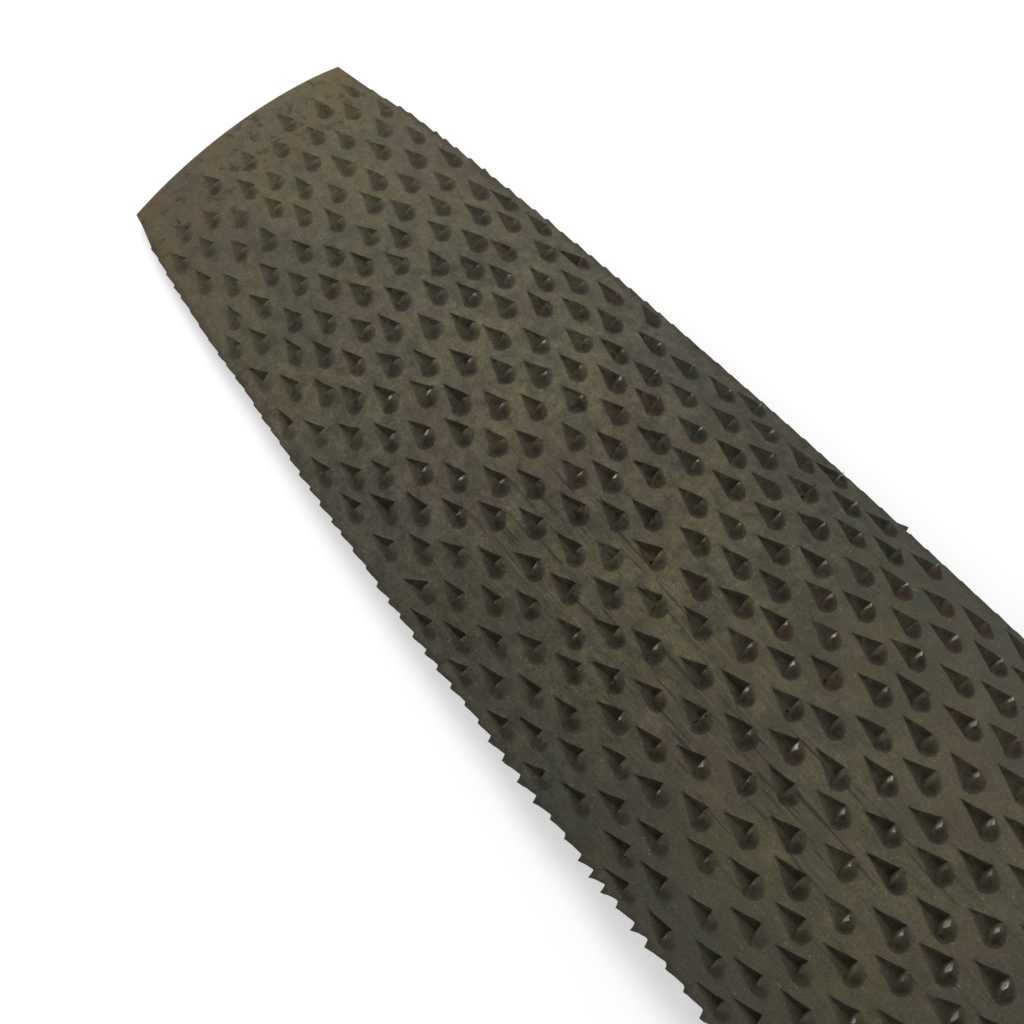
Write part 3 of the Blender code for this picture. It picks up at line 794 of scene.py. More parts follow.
# %% Ferrule
BARE_ROOT, FIT_GAP, NOSE_LENGTH = 0.004, 0.0003, 0.0145
FERRULE_WALL, FERRULE_LIP_RADIUS, FERRULE_EDGE_ROUND = 0.0009, 0.0064, 0.0010
FERRULE_BEAD, FERRULE_BEAD_WIDTH, BEAD_FULLNESS, BEAD_WORN = 0.0004, 0.0022, 0.8, 0.7
BACK_EDGE, BEAD_FOOT, GROOVE_WIDTH, LIP_EDGE = 0.00015, 0.00025, 0.0006, (0.0003, 0.0001)
BEAD_STEPS, BARREL_STEPS, CORNER_STEPS = 12, 10, 10
FERRULE_UNEVEN, RIM_ANGLE = 0.00004, math.radians(40)
FERRULE_FRONT_X = TANG_ROOT_X - BARE_ROOT
NOSE_FRONT_X = FERRULE_FRONT_X - FERRULE_WALL - FIT_GAP
COLLAR_X = NOSE_FRONT_X - NOSE_LENGTH

inner, outer = NOSE_RADIUS + FIT_GAP, NOSE_RADIUS + FIT_GAP + FERRULE_WALL
back, bead = COLLAR_X + FIT_GAP, COLLAR_X + FIT_GAP + FERRULE_BEAD_WIDTH
corner = (FERRULE_FRONT_X - FERRULE_EDGE_ROUND, outer)
outline = [(FERRULE_FRONT_X - FERRULE_WALL, FERRULE_LIP_RADIUS, 0.8, 0.0),
           (FERRULE_FRONT_X - FERRULE_WALL, inner, 0.8, 0.0), (back, inner, 0.8, 0.0),
           (back, outer - BACK_EDGE, 0.7, 0.1), (back + BACK_EDGE, outer, 0.4, 0.3)]
for step in range(1, BEAD_STEPS):
    swelling = math.sin(math.pi * step / BEAD_STEPS)
    outline.append((between(back + BEAD_FOOT, bead, step / BEAD_STEPS),
                    outer + FERRULE_BEAD * swelling ** BEAD_FULLNESS, 0.0, BEAD_WORN * swelling))
outline += [(bead, outer, 0.8, 0.0), (bead + GROOVE_WIDTH, outer, 0.2, 0.0)]
outline += [(between(bead, corner[0], step / BARREL_STEPS), outer, 0.0, 0.1)
            for step in range(2, BARREL_STEPS + 1)]
outline += quarter_round(corner, (FERRULE_FRONT_X, outer - FERRULE_EDGE_ROUND), CORNER_STEPS, 0.0, 0.8)
outline += [(FERRULE_FRONT_X, FERRULE_LIP_RADIUS + LIP_EDGE[0], 0.0, 0.4),
            (FERRULE_FRONT_X - LIP_EDGE[1], FERRULE_LIP_RADIUS, 0.3, 0.5)]
places, made, dirt_and_shade, wear_and_glint = spun(outline, True, FERRULE_UNEVEN)
ferrule = make_object("beaded_ferrule", places, made, "ferrule", RIM_ANGLE,
                      {"dirt_and_shade": dirt_and_shade, "wear_and_glint": wear_and_glint})

# %% [markdown]
# ## The handle
#
# The handle swells toward the butt to fill the palm, and narrows to a waist behind the collar
# where thumb and finger close round it. Two scribed lines are the turner's only decoration. The
# socket for the tang is cut with a Boolean, from the tang's own shape and a small clearance.

# %% Handle
HANDLE_LENGTH = 0.118
COLLAR_RADIUS, WAIST_RADIUS, SWELL_RADIUS, BUTT_RADIUS = 0.0108, 0.0102, 0.0158, 0.0134
BUTT_FLAT_RADIUS, BUTT_ROUND_LENGTH, COLLAR_ROUND_LENGTH = 0.0055, 0.0085, 0.0020
WAIST_SHARE, SWELL_SHARE = 0.17, 0.66
COLLAR_STEPS, WAIST_STEPS, SWELL_STEPS, REAR_STEPS, BUTT_STEPS = 8, 18, 60, 36, 16
HANDLE_UNEVEN = 0.00016
SCRIBED_SHARES, SCRIBED_HALF_WIDTH, SCRIBED_DEPTH = (0.335, 0.365), 0.0005, 0.00035
SCRIBED_CLEAR = 1.6 * SCRIBED_HALF_WIDTH
SCRIBED_LINE = ((1.4, 0.0), (1.0, 0.15), (0.45, 0.8), (0.0, 1.0), (-0.45, 0.8), (-1.0, 0.15), (-1.4, 0.0))

rear = COLLAR_X - HANDLE_LENGTH + NOSE_LENGTH
length = COLLAR_X - rear
collar_foot, collar_top = (COLLAR_X, outer), (COLLAR_X - COLLAR_ROUND_LENGTH, COLLAR_RADIUS)
waist = (COLLAR_X - WAIST_SHARE * length, WAIST_RADIUS)
swell = (COLLAR_X - SWELL_SHARE * length, SWELL_RADIUS)
butt = (rear + BUTT_ROUND_LENGTH, BUTT_RADIUS)
outline = [(NOSE_FRONT_X, NOSE_RADIUS, 0.8, 0.0), (COLLAR_X, NOSE_RADIUS, 0.8, 0.0), (*collar_foot, 0.9, 0.0)]
outline += [(collar_foot[0] + collar_top[0] - x, collar_foot[1] + collar_top[1] - radius, 0.3, 0.3)
            for x, radius, _, _ in reversed(quarter_round(collar_foot, collar_top, COLLAR_STEPS)[:-1])]
outline.append((*collar_top, 0.0, 0.5))
outline += eased_run(collar_top, waist, WAIST_STEPS, 0.1, 0.0)
outline += eased_run(waist, swell, SWELL_STEPS, 0.0, 0.25)
outline += eased_run(swell, butt, REAR_STEPS, 0.0, 0.4)
outline += quarter_round(butt, (rear, BUTT_FLAT_RADIUS), BUTT_STEPS, 0.0, 0.7)
for share in SCRIBED_SHARES:
    middle = COLLAR_X - share * length
    near = [point for point in outline if abs(point[0] - middle) > SCRIBED_CLEAR]
    ahead = next(n for n, point in enumerate(near) if point[0] < middle)
    level = (near[ahead - 1][1] + near[ahead][1]) / 2
    cut = [(middle + place * SCRIBED_HALF_WIDTH, level - sunk * SCRIBED_DEPTH, sunk, 0.0)
           for place, sunk in SCRIBED_LINE]
    outline = near[:ahead] + cut + near[ahead:]
places, made, dirt_and_shade, wear_and_glint = spun(outline, False, HANDLE_UNEVEN)
handle = make_object("turned_handle", places, made, "handle", RIM_ANGLE,
                     {"dirt_and_shade": dirt_and_shade, "wear_and_glint": wear_and_glint})

# %% Cut the socket for the tang
front = tang_section(NOSE_FRONT_X + FERRULE_WALL, FIT_GAP)
deep = tang_section(TANG_ROOT_X - TANG_LENGTH - FIT_GAP, FIT_GAP)
count = len(front)
cutter_mesh = bpy.data.meshes.new("socket_cutter")
cutter_mesh.from_pydata(front + deep, [], [tuple(range(count)), tuple(range(2 * count - 1, count - 1, -1))]
                        + [(n, n + count, (n + 1) % count + count, (n + 1) % count) for n in range(count)])
shape = bmesh.new()
shape.from_mesh(cutter_mesh)
bmesh.ops.recalc_face_normals(shape, faces=shape.faces)
shape.to_mesh(cutter_mesh)
shape.free()
cutter = bpy.data.objects.new("socket_cutter", cutter_mesh)
bpy.context.scene.collection.objects.link(cutter)
socket = handle.modifiers.new("socket", "BOOLEAN")
socket.operation, socket.solver, socket.object = "DIFFERENCE", "EXACT", cutter
depsgraph = bpy.context.evaluated_depsgraph_get()
hollowed = bpy.data.meshes.new_from_object(handle.evaluated_get(depsgraph))
handle.modifiers.clear()
handle.data = hollowed
bpy.data.objects.remove(cutter)
print("handle with its socket:", len(hollowed.polygons), "faces")

# %% [markdown]
# ## Helpers for materials
#
# A material is a small network of nodes. These helpers add one node at a time and connect what
# feeds it, so that each material below reads from top to bottom like a recipe. A socket knows
# the tree that it is in, so most helpers find the tree through a value that they are given.

# %% Add and connect nodes
def put(tree, kind, feeds=None, **settings):
    """A new node with these settings. feeds maps a socket's name or number to a value or an output."""
    made = tree.nodes.new(kind)
    for label, value in settings.items():
        setattr(made, label, value)
    for label, value in (feeds or {}).items():
        socket = made.inputs[label]
        if isinstance(value, bpy.types.NodeSocket):
            tree.links.new(value, socket)
        else:
            socket.default_value = value
    return made


def tree_of(*values):
    """The node tree that the first output among these values is in."""
    return next(value.id_data for value in values if isinstance(value, bpy.types.NodeSocket))


def feed(node, outputs):
    """Connects each output to the node's socket of that name."""
    for label, output in outputs.items():
        node.id_data.links.new(output, node.inputs[label])


def sums(operation, *values):
    """One step of arithmetic with numbers and outputs."""
    return put(tree_of(*values), "ShaderNodeMath", dict(enumerate(values)),
               operation=operation).outputs[0]


def times(*values):
    product = values[0]
    for value in values[1:]:
        product = sums("MULTIPLY", product, value)
    return product


def vectors(operation, *values):
    """A sum with vectors. LENGTH and DISTANCE give a number, and the others give a vector."""
    made = put(tree_of(*values), "ShaderNodeVectorMath", dict(enumerate(values)), operation=operation)
    return made.outputs["Value" if operation in ("LENGTH", "DISTANCE") else "Vector"]


# %% Colours, ranges, noise and relief
def blended(share, first, second, blend_type="MIX"):
    """A colour between two colours, or one laid over the other."""
    return put(tree_of(share, first, second), "ShaderNodeMix", {0: share, 6: first, 7: second},
               data_type="RGBA", blend_type=blend_type).outputs[2]


def ramp(value, low, high, to_low=0.0, to_high=1.0, kind="SMOOTHSTEP"):
    """The value carried from one range to another, and held at the ends."""
    return put(tree_of(value), "ShaderNodeMapRange", {0: value, 1: low, 2: high, 3: to_low, 4: to_high},
               interpolation_type=kind).outputs[0]


def cloudy(place, scale, detail=3.0, roughness=0.55, stretch=None):
    """Soft noise from 0 to 1 in features of about 1/scale millimetres."""
    if stretch:
        place = vectors("MULTIPLY", place, stretch)
    return put(tree_of(place), "ShaderNodeTexNoise", {"Vector": place, "Scale": scale, "Detail": detail,
                                                      "Roughness": roughness}).outputs[0]


def attribute(tree, name):
    return put(tree, "ShaderNodeAttribute", attribute_name=name).outputs["Fac"]


def bumped(height, distance, normal=None):
    feeds = {"Height": height, "Distance": distance}
    if normal is not None:
        feeds["Normal"] = normal
    return put(tree_of(height), "ShaderNodeBump", feeds).outputs[0]


def new_material(name):
    """A material with its tree, its Principled shader and the place on the object in millimetres."""
    material = bpy.data.materials.new(name)
    material.use_nodes = True
    tree = material.node_tree
    where = put(tree, "ShaderNodeTexCoord").outputs["Object"]
    place = put(tree, "ShaderNodeVectorMath", {0: where, "Scale": 1 / MILLIMETRE}, operation="SCALE")
    return material, tree, tree.nodes["Principled BSDF"], place.outputs[0]


# %% [markdown]
# ## Effects that several materials share
#
# Old steel and old wood age in the same few ways. Their colour goes blotchy, fine lines run
# along them, corners are rubbed bright, and dirt stays in hollows. On the blade the rubbed
# bright also holds painted highlights on the crests, and the dirt also holds painted shade
# beside the teeth. Each of these is a node group with named sockets, built once and placed in
# every material with its own values.

# %% Make a group, and place it
def shared_effect(name, inputs, outputs):
    """An empty node group with named sockets. inputs maps a name to its default value."""
    group = bpy.data.node_groups.new(name, "ShaderNodeTree")
    for label, value in inputs.items():
        kind = "NodeSocketVector" if isinstance(value, tuple) else "NodeSocketFloat"
        group.interface.new_socket(label, in_out="INPUT", socket_type=kind).default_value = value
    for label in outputs:
        group.interface.new_socket(label, in_out="OUTPUT", socket_type="NodeSocketFloat")
    return group, group.nodes.new("NodeGroupInput").outputs, group.nodes.new("NodeGroupOutput")


def placed(group, feeds):
    """Places a shared effect in a material, with its own values, and returns its outputs."""
    return put(tree_of(*feeds.values()), "ShaderNodeGroup", feeds, node_tree=group).outputs


# %% Blotches, lines, rubbed edges with painted highlights, and grime with painted shade
ORIGIN = (0.0, 0.0, 0.0)

blotches, given, out = shared_effect("blotches", {"Place": ORIGIN, "Size mm": 5.0, "Softness": 0.12,
                                                  "Level": 0.5, "Shift": 0.0}, ["Mask"])
shifted = vectors("ADD", given["Place"], given["Shift"])
spots = cloudy(shifted, sums("DIVIDE", 1.0, given["Size mm"]), 5.0, 0.62)
feed(out, {"Mask": ramp(spots, sums("SUBTRACT", given["Level"], given["Softness"]),
                        sums("ADD", given["Level"], given["Softness"]))})

fine_lines, given, out = shared_effect("fine_lines", {"Place": ORIGIN, "Squeeze": (0.1, 1.0, 1.0),
                                                      "Per mm": 4.0, "Level": 0.6}, ["Mask", "Height"])
strands = cloudy(vectors("MULTIPLY", given["Place"], given["Squeeze"]), given["Per mm"], 3.0, 0.6)
feed(out, {"Mask": ramp(strands, given["Level"], sums("ADD", given["Level"], 0.08)), "Height": strands})

rubbed_and_glinting, given, out = shared_effect("rubbed_edges_and_glints", {"Place": ORIGIN, "Edge": 0.0, "Amount": 1.0,
                                                    "Per mm": 6.0}, ["Mask"])
breakup = times(cloudy(given["Place"], given["Per mm"]), 0.7)
feed(out, {"Mask": ramp(sums("SUBTRACT", times(given["Edge"], given["Amount"]), breakup), 0.1, 0.55)})

grime_and_shade, given, out = shared_effect("grime_and_shade", {"Place": ORIGIN, "Dirt and shade": 0.0, "Amount": 1.0,
                                            "Per mm": 3.0}, ["Mask"])
patchy = ramp(cloudy(given["Place"], given["Per mm"], 4.0), 0.3, 0.7, 0.70, 1.05)
feed(out, {"Mask": times(given["Dirt and shade"], given["Amount"], patchy)})
print("shared effects:", [group.name for group in (blotches, fine_lines, rubbed_and_glinting, grime_and_shade)])


# %% Short names for the four effects
def patches(place, size, softness, level, shift=0.0):
    return placed(blotches, {"Place": place, "Size mm": size, "Softness": softness, "Level": level,
                             "Shift": shift})["Mask"]


def strokes(place, squeeze, per_mm, level):
    return placed(fine_lines, {"Place": place, "Squeeze": squeeze, "Per mm": per_mm, "Level": level})


def wear_and_glint_where(place, edge, amount, per_mm):
    return placed(rubbed_and_glinting, {"Place": place, "Edge": edge, "Amount": amount, "Per mm": per_mm})["Mask"]


def dirt_and_shade_where(place, dirt_and_shade, amount, per_mm):
    return placed(grime_and_shade, {"Place": place, "Dirt and shade": dirt_and_shade, "Amount": amount, "Per mm": per_mm})["Mask"]


# %% [markdown]
# ## Worn tool steel
#
# The land between the teeth has a satin, olive-brown skin of old oxide and oil. It changes colour
# in patches: yellower, paler and greener ones, and a darker tone toward both edges. Each kind is
# noise of its own size, cut off softly at a level, because that gives patches with natural
# outlines. Places along the blade are in millimetres from the middle of the heel.

# %% Colours of the land
steel, tree, shader, place = new_material("satin_tool_steel")
parted = put(tree, "ShaderNodeSeparateXYZ", {0: place}).outputs
place_along, place_side = parted["X"], parted["Y"]
olive, brown, greenish = (0.084, 0.074, 0.043, 1), (0.080, 0.063, 0.043, 1), (0.053, 0.057, 0.036, 1)
yellowish, pale, edge_olive = (0.105, 0.090, 0.040, 1), (0.122, 0.110, 0.058, 1), (0.055, 0.056, 0.040, 1)

skin = blended(patches(place, 9.0, 0.07, 0.50), olive, brown)
skin = blended(times(patches(place, 11.0, 0.10, 0.55, 63.0), 0.75), skin, yellowish)
pale_share = times(ramp(place_along, 184.0, 192.0, 0.2, 0.6), ramp(place_along, 214.0, 224.0, 1.0, 0.4))
skin = blended(times(patches(place, 3.6, 0.07, 0.55, 63.0), pale_share), skin, pale)
green_share = ramp(ramp(place_along, 222.0, 240.0), 0.0, 1.0, 0.60, 0.25)
skin = blended(times(patches(place, 3.2, 0.06, 0.54, 40.0), green_share), skin, greenish)
to_edge = ramp(sums("ABSOLUTE", place_side), 4.5, 11.5)
skin = blended(times(to_edge, ramp(place_along, 206.0, 226.0, 0.65, 0.0)), skin, edge_olive)

# %% Grain, smudges and pale specks
speckle = cloudy(place, 6.0, 6.0, 0.8)
grain = times(ramp(speckle, 0.28, 0.72, 0.56, 1.44, "LINEAR"),
              ramp(cloudy(place, 15.0, 3.0, 0.7), 0.3, 0.7, 0.76, 1.24, "LINEAR"))
shade = times(ramp(place_along, 180.0, 190.0, 0.95, 0.83), ramp(place_along, 200.0, 210.0, 1.0, 1.18))
smudge_share = times(ramp(place_along, 184.0, 194.0, 0.25, 1.0), ramp(place_along, 220.0, 230.0, 1.0, 0.65))
smudge = times(ramp(cloudy(place, 1.2, 6.0, 0.78), 0.36, 0.64, -0.38, 0.38, "LINEAR"), smudge_share)
grey = times(grain, shade, sums("ADD", 1.0, smudge))
grey_colour = put(tree, "ShaderNodeCombineColor", {n: grey for n in range(3)}).outputs[0]
skin = blended(1.0, skin, grey_colour, "MULTIPLY")
skin = blended(times(patches(place, 0.22, 0.03, 0.665, 5.0), 0.75), skin, (0.185, 0.172, 0.130, 1))
print("steel nodes for the land:", len(tree.nodes))

# %% [markdown]
# ## Draw lines
#
# Where the blade was last dressed, long lines run along it: broad brown streaks, pale scratches
# and a few dark scores. Each kind is noise that is drawn out along the blade. A soft oval mask
# shows them in full in the middle and leaves only a trace of them elsewhere.

# %% Lines along the blade
dressed = times(ramp(place_along, 166.0, 182.0), ramp(place_along, 200.0, 214.0, 1.0, 0.0),
                times(ramp(place_side, -4.0, 1.0), ramp(place_side, 5.0, 10.0, 1.0, 0.0)))
streaks, drawn, scored = (strokes(place, (squeeze, 1.0, 1.0), per_mm, level) for squeeze, per_mm, level in (
    (0.05, 1.3, 0.50), (0.05, 6.0, 0.56), (0.035, 3.1, 0.59)))
streak_share, line_share, score_share = (ramp(dressed, 0.0, 1.0, trace, full, "LINEAR") for trace, full in (
    (0.12, 0.52), (0.16, 0.52), (0.06, 0.68)))
skin = blended(times(streaks["Mask"], streak_share), skin, (0.078, 0.059, 0.039, 1))
skin = blended(times(drawn["Mask"], line_share), skin, (0.118, 0.103, 0.068, 1))
skin = blended(times(scored["Mask"], score_share), skin, (0.017, 0.014, 0.010, 1))
print("steel nodes with the draw lines:", len(tree.nodes))

# %% [markdown]
# ## Rust, and what the pits hold
#
# Near the tip a warm rust tint shows through, with small eaten spots. Oil and wood dust have
# made the pits nearly black, some are greenish, and a few hold red rust, most of them close
# together near the right edge. The same dark colour is also painted shade: it lies in the pits
# and most heavily on the side of each mound that faces away from the lamp. Every point of the
# mesh says how much dirt and painted shade it holds, so neither needs a texture, and one random
# number for each tooth decides what its pit holds.

# %% Rust, dirt and painted shade
RUST_CENTRE, RUST_INNER, RUST_OUTER = (184.6, -10.8, 2.5), 2.2, 3.6

rusty = times(ramp(place_along, 229.0, 240.0), patches(place, 3.0, 0.12, 0.47, 11.0), 0.75)
skin = blended(rusty, skin, (0.110, 0.076, 0.029, 1))
eaten = times(patches(place, 0.85, 0.09, 0.61, 29.0), ramp(place_along, 231.0, 238.0, 0.10, 0.85))
skin = blended(eaten, skin, (0.036, 0.023, 0.010, 1))

# The first look holds dirt and painted shade.
dirt_and_shade = ramp(attribute(tree, "dirt_and_shade"), DARKENING_FROM, DARKENING_FULL, kind="LINEAR")
tint = attribute(tree, "tint")
spotty = ramp(cloudy(place, 3.5, 4.0, 0.7), 0.35, 0.65)
pit_colour = blended(spotty, (0.013, 0.0105, 0.0068, 1), (0.042, 0.034, 0.0215, 1))
green_share = times(patches(place, 7.0, 0.06, 0.55, 91.0), ramp(tint, 0.75, 0.35),
                    ramp(place_along, 182.0, 192.0, 0.35, 0.9))
pit_colour = blended(green_share, pit_colour, (0.014, 0.021, 0.014, 1))
red_share = times(patches(place, 8.0, 0.06, 0.56, 77.0), ramp(tint, 0.25, 0.65),
                  ramp(spotty, 0.0, 1.0, 0.35, 1.0))
from_rust = vectors("DISTANCE", place, RUST_CENTRE)
rust_here = times(ramp(from_rust, RUST_INNER, RUST_OUTER, 1.0, 0.0), ramp(spotty, 0.0, 1.0, 0.5, 1.0))
pit_colour = blended(sums("MAXIMUM", red_share, rust_here), pit_colour, (0.062, 0.021, 0.015, 1))
# This mask is dirt and painted shade: in the pits, and on the side of each mound away from the lamp.
pit_dirt_and_shade = dirt_and_shade_where(place, dirt_and_shade, 0.95, 2.5)
skin = blended(pit_dirt_and_shade, skin, pit_colour)
print("steel nodes with rust and dirt:", len(tree.nodes))

# %% [markdown]
# ## Bright crests, gloss and relief
#
# The crests rub on wood, so there the steel is bare: smoother, paler and more metallic. The pale
# colour is also a painted highlight, laid on the half of each crest that faces the lamp; it is
# stronger on some teeth than on others and a little stronger far from the tip. The dirt and
# painted shade are dull. The grain of the skin, the eaten spots and the draw lines are felt as
# well as seen, so they also tilt the surface a little, in two bump nodes one after the other.

# %% Crests with painted highlights, gloss and relief
SKIN_RELIEF, LINE_RELIEF = 0.00009, 0.00005

# How strongly each crest shows its wear and painted highlight: it differs from tooth to tooth and is a little
# stronger far from the tip.
wear_and_glint_strength = ramp(sums("FRACT", times(tint, 7.3)), 0.15, 0.80, 0.25, 1.12)
wear_and_glint_strength = times(wear_and_glint_strength, ramp(place_along, 182.0, 192.0, 1.15, 0.97))
bright = wear_and_glint_where(place, attribute(tree, "wear_and_glint"), wear_and_glint_strength, 9.0)
# The crest colour is bare steel and a painted highlight in one, paler far from the tip.
crest_tone = blended(ramp(place_along, 184.0, 194.0), (0.36, 0.33, 0.255, 1), (0.26, 0.24, 0.185, 1))
skin = blended(bright, skin, crest_tone)

gloss = sums("ADD", ramp(speckle, 0.3, 0.7, 0.50, 0.66, "LINEAR"), times(pit_dirt_and_shade, 0.22))
gloss = sums("SUBTRACT", gloss, times(bright, 0.18))
bare = sums("ADD", 0.15, times(bright, 0.70))
grit = times(speckle, sums("ADD", 1.0, times(dirt_and_shade, 2.4)))
pitted = bumped(sums("SUBTRACT", grit, times(eaten, 0.8)), SKIN_RELIEF)
furrows = sums("SUBTRACT", times(drawn["Height"], line_share), times(scored["Mask"], score_share))
feed(shader, {"Base Color": skin, "Roughness": gloss, "Metallic": bare,
              "Normal": bumped(furrows, LINE_RELIEF, pitted)})
shader.inputs["Specular IOR Level"].default_value = 0.22
blade.data.materials.append(steel)
print("steel nodes in all:", len(tree.nodes))

# %% [markdown]
# ## Dull drawn steel
#
# The ferrule was drawn from bright sheet and has gone dull. Faint turning lines run round it,
# its bead and front corner are rubbed, and the groove beside the bead and its back edge are
# painted darker.

# %% Steel of the ferrule
plate, tree, shader, place = new_material("dull_drawn_steel")
cloud = patches(place, 4.0, 0.2, 0.5)
skin = blended(cloud, (0.27, 0.26, 0.235, 1), (0.19, 0.175, 0.15, 1))
turning = strokes(place, (1.0, 0.03, 0.03), 7.0, 0.58)
skin = blended(times(turning["Mask"], 0.35), skin, (0.36, 0.35, 0.33, 1))
spotted = patches(place, 1.3, 0.05, 0.66, 7.0)
skin = blended(times(spotted, 0.7), skin, (0.10, 0.055, 0.03, 1))
darker_creases = dirt_and_shade_where(place, attribute(tree, "dirt_and_shade"), 0.9, 1.5)
skin = blended(darker_creases, skin, (0.035, 0.028, 0.02, 1))
bright = wear_and_glint_where(place, attribute(tree, "wear_and_glint"), 1.1, 2.0)
skin = blended(bright, skin, (0.50, 0.49, 0.46, 1))
gloss = sums("ADD", ramp(cloud, 0.0, 1.0, 0.34, 0.50), times(darker_creases, 0.3))
bare = sums("SUBTRACT", 0.95, times(sums("MAXIMUM", darker_creases, spotted), 0.7))
feed(shader, {"Base Color": skin, "Roughness": gloss, "Metallic": bare,
              "Normal": bumped(turning["Height"], 0.00003)})
ferrule.data.materials.append(plate)
print("nodes for the ferrule:", len(tree.nodes))

# %% [markdown]
# ## Oiled beech
#
# Beech is pinkish brown with close growth rings and short dark flecks. The grain runs along the
# handle, so the rings are long cones round a heart that lies outside it: they show as streaks
# along the sides and as curves on the swell and the butt. Oil and hands have darkened it in
# patches, and its scribed lines and the foot of its collar are painted darker.

# %% Wood of the handle
HEART, RINGS_PER_MM = (0.0, 21.0, 34.0), 0.62

wood, tree, shader, place = new_material("oiled_beech")
bent = cloudy(place, 0.035, 2.0, 0.5, (0.35, 1.0, 1.0))
distance = vectors("LENGTH", vectors("ADD", vectors("MULTIPLY", place, (0.035, 1.0, 1.0)), HEART))
ring = sums("FRACT", times(sums("ADD", distance, times(bent, 7.0)), RINGS_PER_MM))
late = times(ramp(ring, 0.35, 0.93), ramp(ring, 0.93, 1.0, 1.0, 0.0))
skin = blended(late, (0.47, 0.275, 0.135, 1), (0.31, 0.155, 0.066, 1))
skin = blended(times(patches(place, 26.0, 0.22, 0.5), 0.4), skin, (0.34, 0.185, 0.085, 1))
fleck = strokes(place, (0.16, 1.0, 1.0), 2.6, 0.63)["Mask"]
skin = blended(times(fleck, 0.5), skin, (0.17, 0.075, 0.032, 1))
pores = strokes(place, (0.05, 1.0, 1.0), 7.0, 0.5)
skin = blended(times(pores["Mask"], 0.16), skin, (0.16, 0.08, 0.04, 1))
darker_creases = dirt_and_shade_where(place, attribute(tree, "dirt_and_shade"), 0.85, 0.4)
handled = patches(place, 14.0, 0.16, 0.53, 19.0)
skin = blended(sums("MAXIMUM", darker_creases, times(handled, 0.38)), skin, (0.085, 0.042, 0.020, 1))
bare = wear_and_glint_where(place, attribute(tree, "wear_and_glint"), 0.9, 0.3)
skin = blended(times(bare, 0.35), skin, (0.56, 0.36, 0.19, 1))
gloss = sums("ADD", ramp(handled, 0.0, 1.0, 0.46, 0.34, "LINEAR"), times(fleck, 0.15))
pressed = bumped(sums("SUBTRACT", 1.0, fleck), 0.00006)
feed(shader, {"Base Color": skin, "Roughness": gloss, "Normal": bumped(pores["Height"], 0.00012, pressed)})
handle.data.materials.append(wood)
print("materials:", [material.name for material in (steel, plate, wood)])

# %% [markdown]
# ## Floor
#
# The rasp lies on a plain pale floor. It rests on two lines only, the lower edge of the tip and
# the fattest ring of the handle, so the floor is a plane through both. To the camera alone the
# floor also glows a little. That makes it white in the picture, while its own grey stays low
# enough to show a soft shadow. Far from the blade the glow is stronger, so no horizon shows.

# %% Floor
FLOOR_SIZE, FLOOR_GAP, FLOOR_GREY = 3.0, 0.00015, (0.56, 0.56, 0.56, 1)
GLOW_FROM, GLOW_TO, NEAR_GLOW, FAR_GLOW = 0.15, 1.0, 0.47, 0.76

tip_point = Vector((TIP_X, 0.0, 0.0))
swell_point = Vector((swell[0], 0.0, TANG_AXIS_HEIGHT - SWELL_RADIUS))
floor_x = (tip_point - swell_point).normalized()
floor_y = Vector((0.0, 1.0, 0.0))
floor_middle = (tip_point + swell_point) / 2 - FLOOR_GAP * floor_x.cross(floor_y)
corners = [floor_middle + FLOOR_SIZE * (a * floor_x + b * floor_y)
           for a, b in ((-1, -1), (1, -1), (1, 1), (-1, 1))]
floor_mesh = bpy.data.meshes.new("floor")
floor_mesh.from_pydata(corners, [], [(0, 1, 2, 3)])
floor = bpy.data.objects.new("floor", floor_mesh)
bpy.context.scene.collection.objects.link(floor)

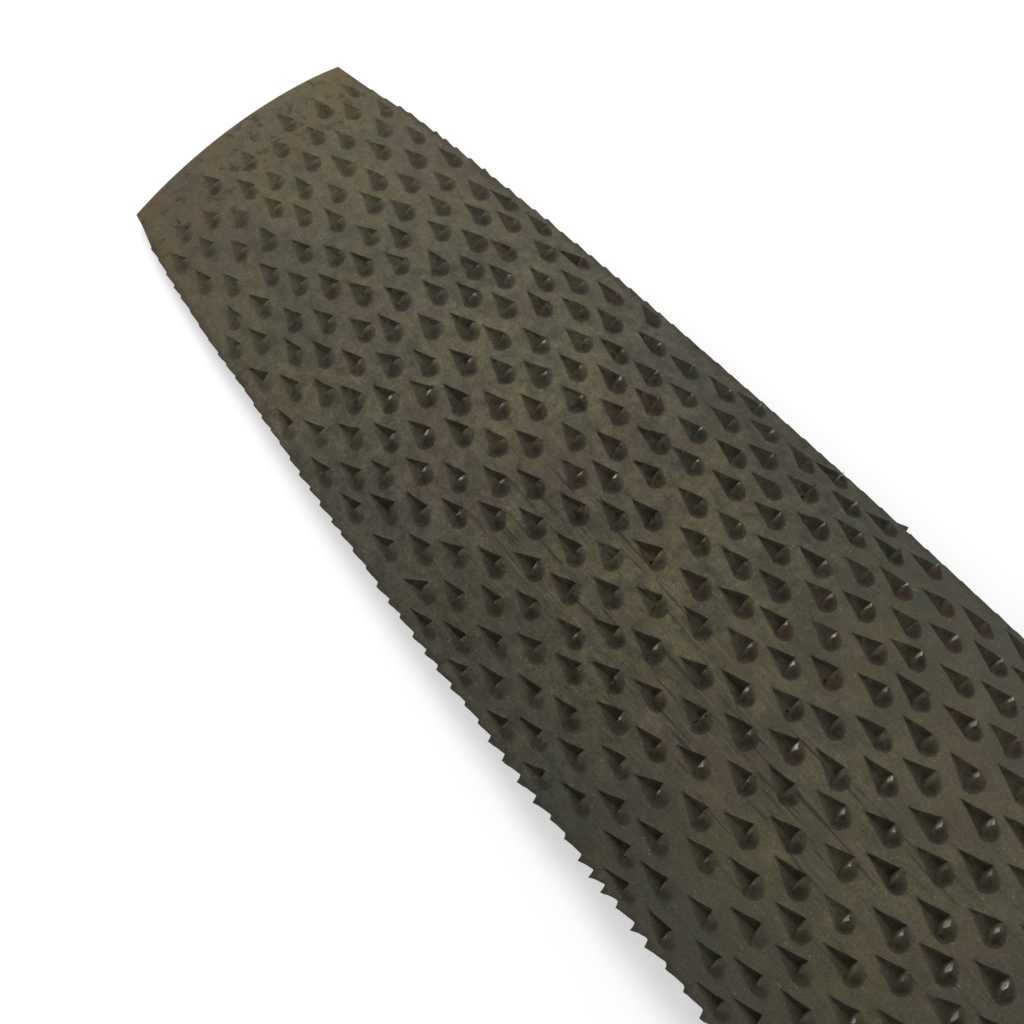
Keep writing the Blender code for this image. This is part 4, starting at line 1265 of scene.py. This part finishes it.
paper = bpy.data.materials.new("pale_floor")
paper.use_nodes = True
tree = paper.node_tree
tree.nodes.clear()
to_camera = put(tree, "ShaderNodeLightPath").outputs["Is Camera Ray"]
plain = put(tree, "ShaderNodeBsdfDiffuse", {"Color": FLOOR_GREY}).outputs[0]
away = vectors("LENGTH", put(tree, "ShaderNodeTexCoord").outputs["Object"])
glow = times(to_camera, ramp(away, GLOW_FROM, GLOW_TO, NEAR_GLOW, FAR_GLOW))
lifted = put(tree, "ShaderNodeEmission", {"Color": (1, 1, 1, 1), "Strength": glow}).outputs[0]
both = put(tree, "ShaderNodeAddShader", {0: plain, 1: lifted}).outputs[0]
put(tree, "ShaderNodeOutputMaterial", {"Surface": both})
floor_mesh.materials.append(paper)
print("floor slopes", round(math.degrees(math.asin(floor_x.z)), 2), "degrees up toward the tip")

# %% [markdown]
# ## Lamp and surroundings
#
# One large soft lamp stands beyond the tip, low enough to shade the back of every tooth. The
# surroundings light the rest evenly. The camera and all reflections see them as white, but the
# light that they give is dimmer, so that the lamp can still draw the shapes.

# %% Lamp
LAMP_DISTANCE, LAMP_SIZE, LAMP_POWER = 0.9, 0.34, 5.8
LIT_PLACE = Vector((TIP_X - 0.05, 0.0, 0.0))

toward_lamp = Vector((0.72, -0.34, 0.67)).normalized()
lamp_data = bpy.data.lights.new("main_lamp", "AREA")
lamp_data.size, lamp_data.energy = LAMP_SIZE, LAMP_POWER
lamp = bpy.data.objects.new("main_lamp", lamp_data)
bpy.context.scene.collection.objects.link(lamp)
lamp.location = LIT_PLACE + LAMP_DISTANCE * toward_lamp
lamp.rotation_euler = toward_lamp.to_track_quat("Z", "Y").to_euler()
print("lamp at", [round(value, 3) for value in lamp.location])

# %% Surroundings
LIGHT_GIVEN, WHITE = 0.57, 1.0

world = bpy.data.worlds.new("studio")
world.use_nodes = True
bpy.context.scene.world = world
tree = world.node_tree
tree.nodes.clear()
ray = put(tree, "ShaderNodeLightPath").outputs
in_view = sums("MAXIMUM", ray["Is Glossy Ray"], ray["Is Transmission Ray"])
shown = sums("MAXIMUM", ray["Is Camera Ray"], in_view)
dim, white = (put(tree, "ShaderNodeBackground", {"Color": (1, 1, 1, 1), "Strength": strength}).outputs[0]
              for strength in (LIGHT_GIVEN, WHITE))
chosen = put(tree, "ShaderNodeMixShader", {0: shown, 1: dim, 2: white}).outputs[0]
put(tree, "ShaderNodeOutputWorld", {"Surface": chosen})
print("nodes of the surroundings:", len(tree.nodes))
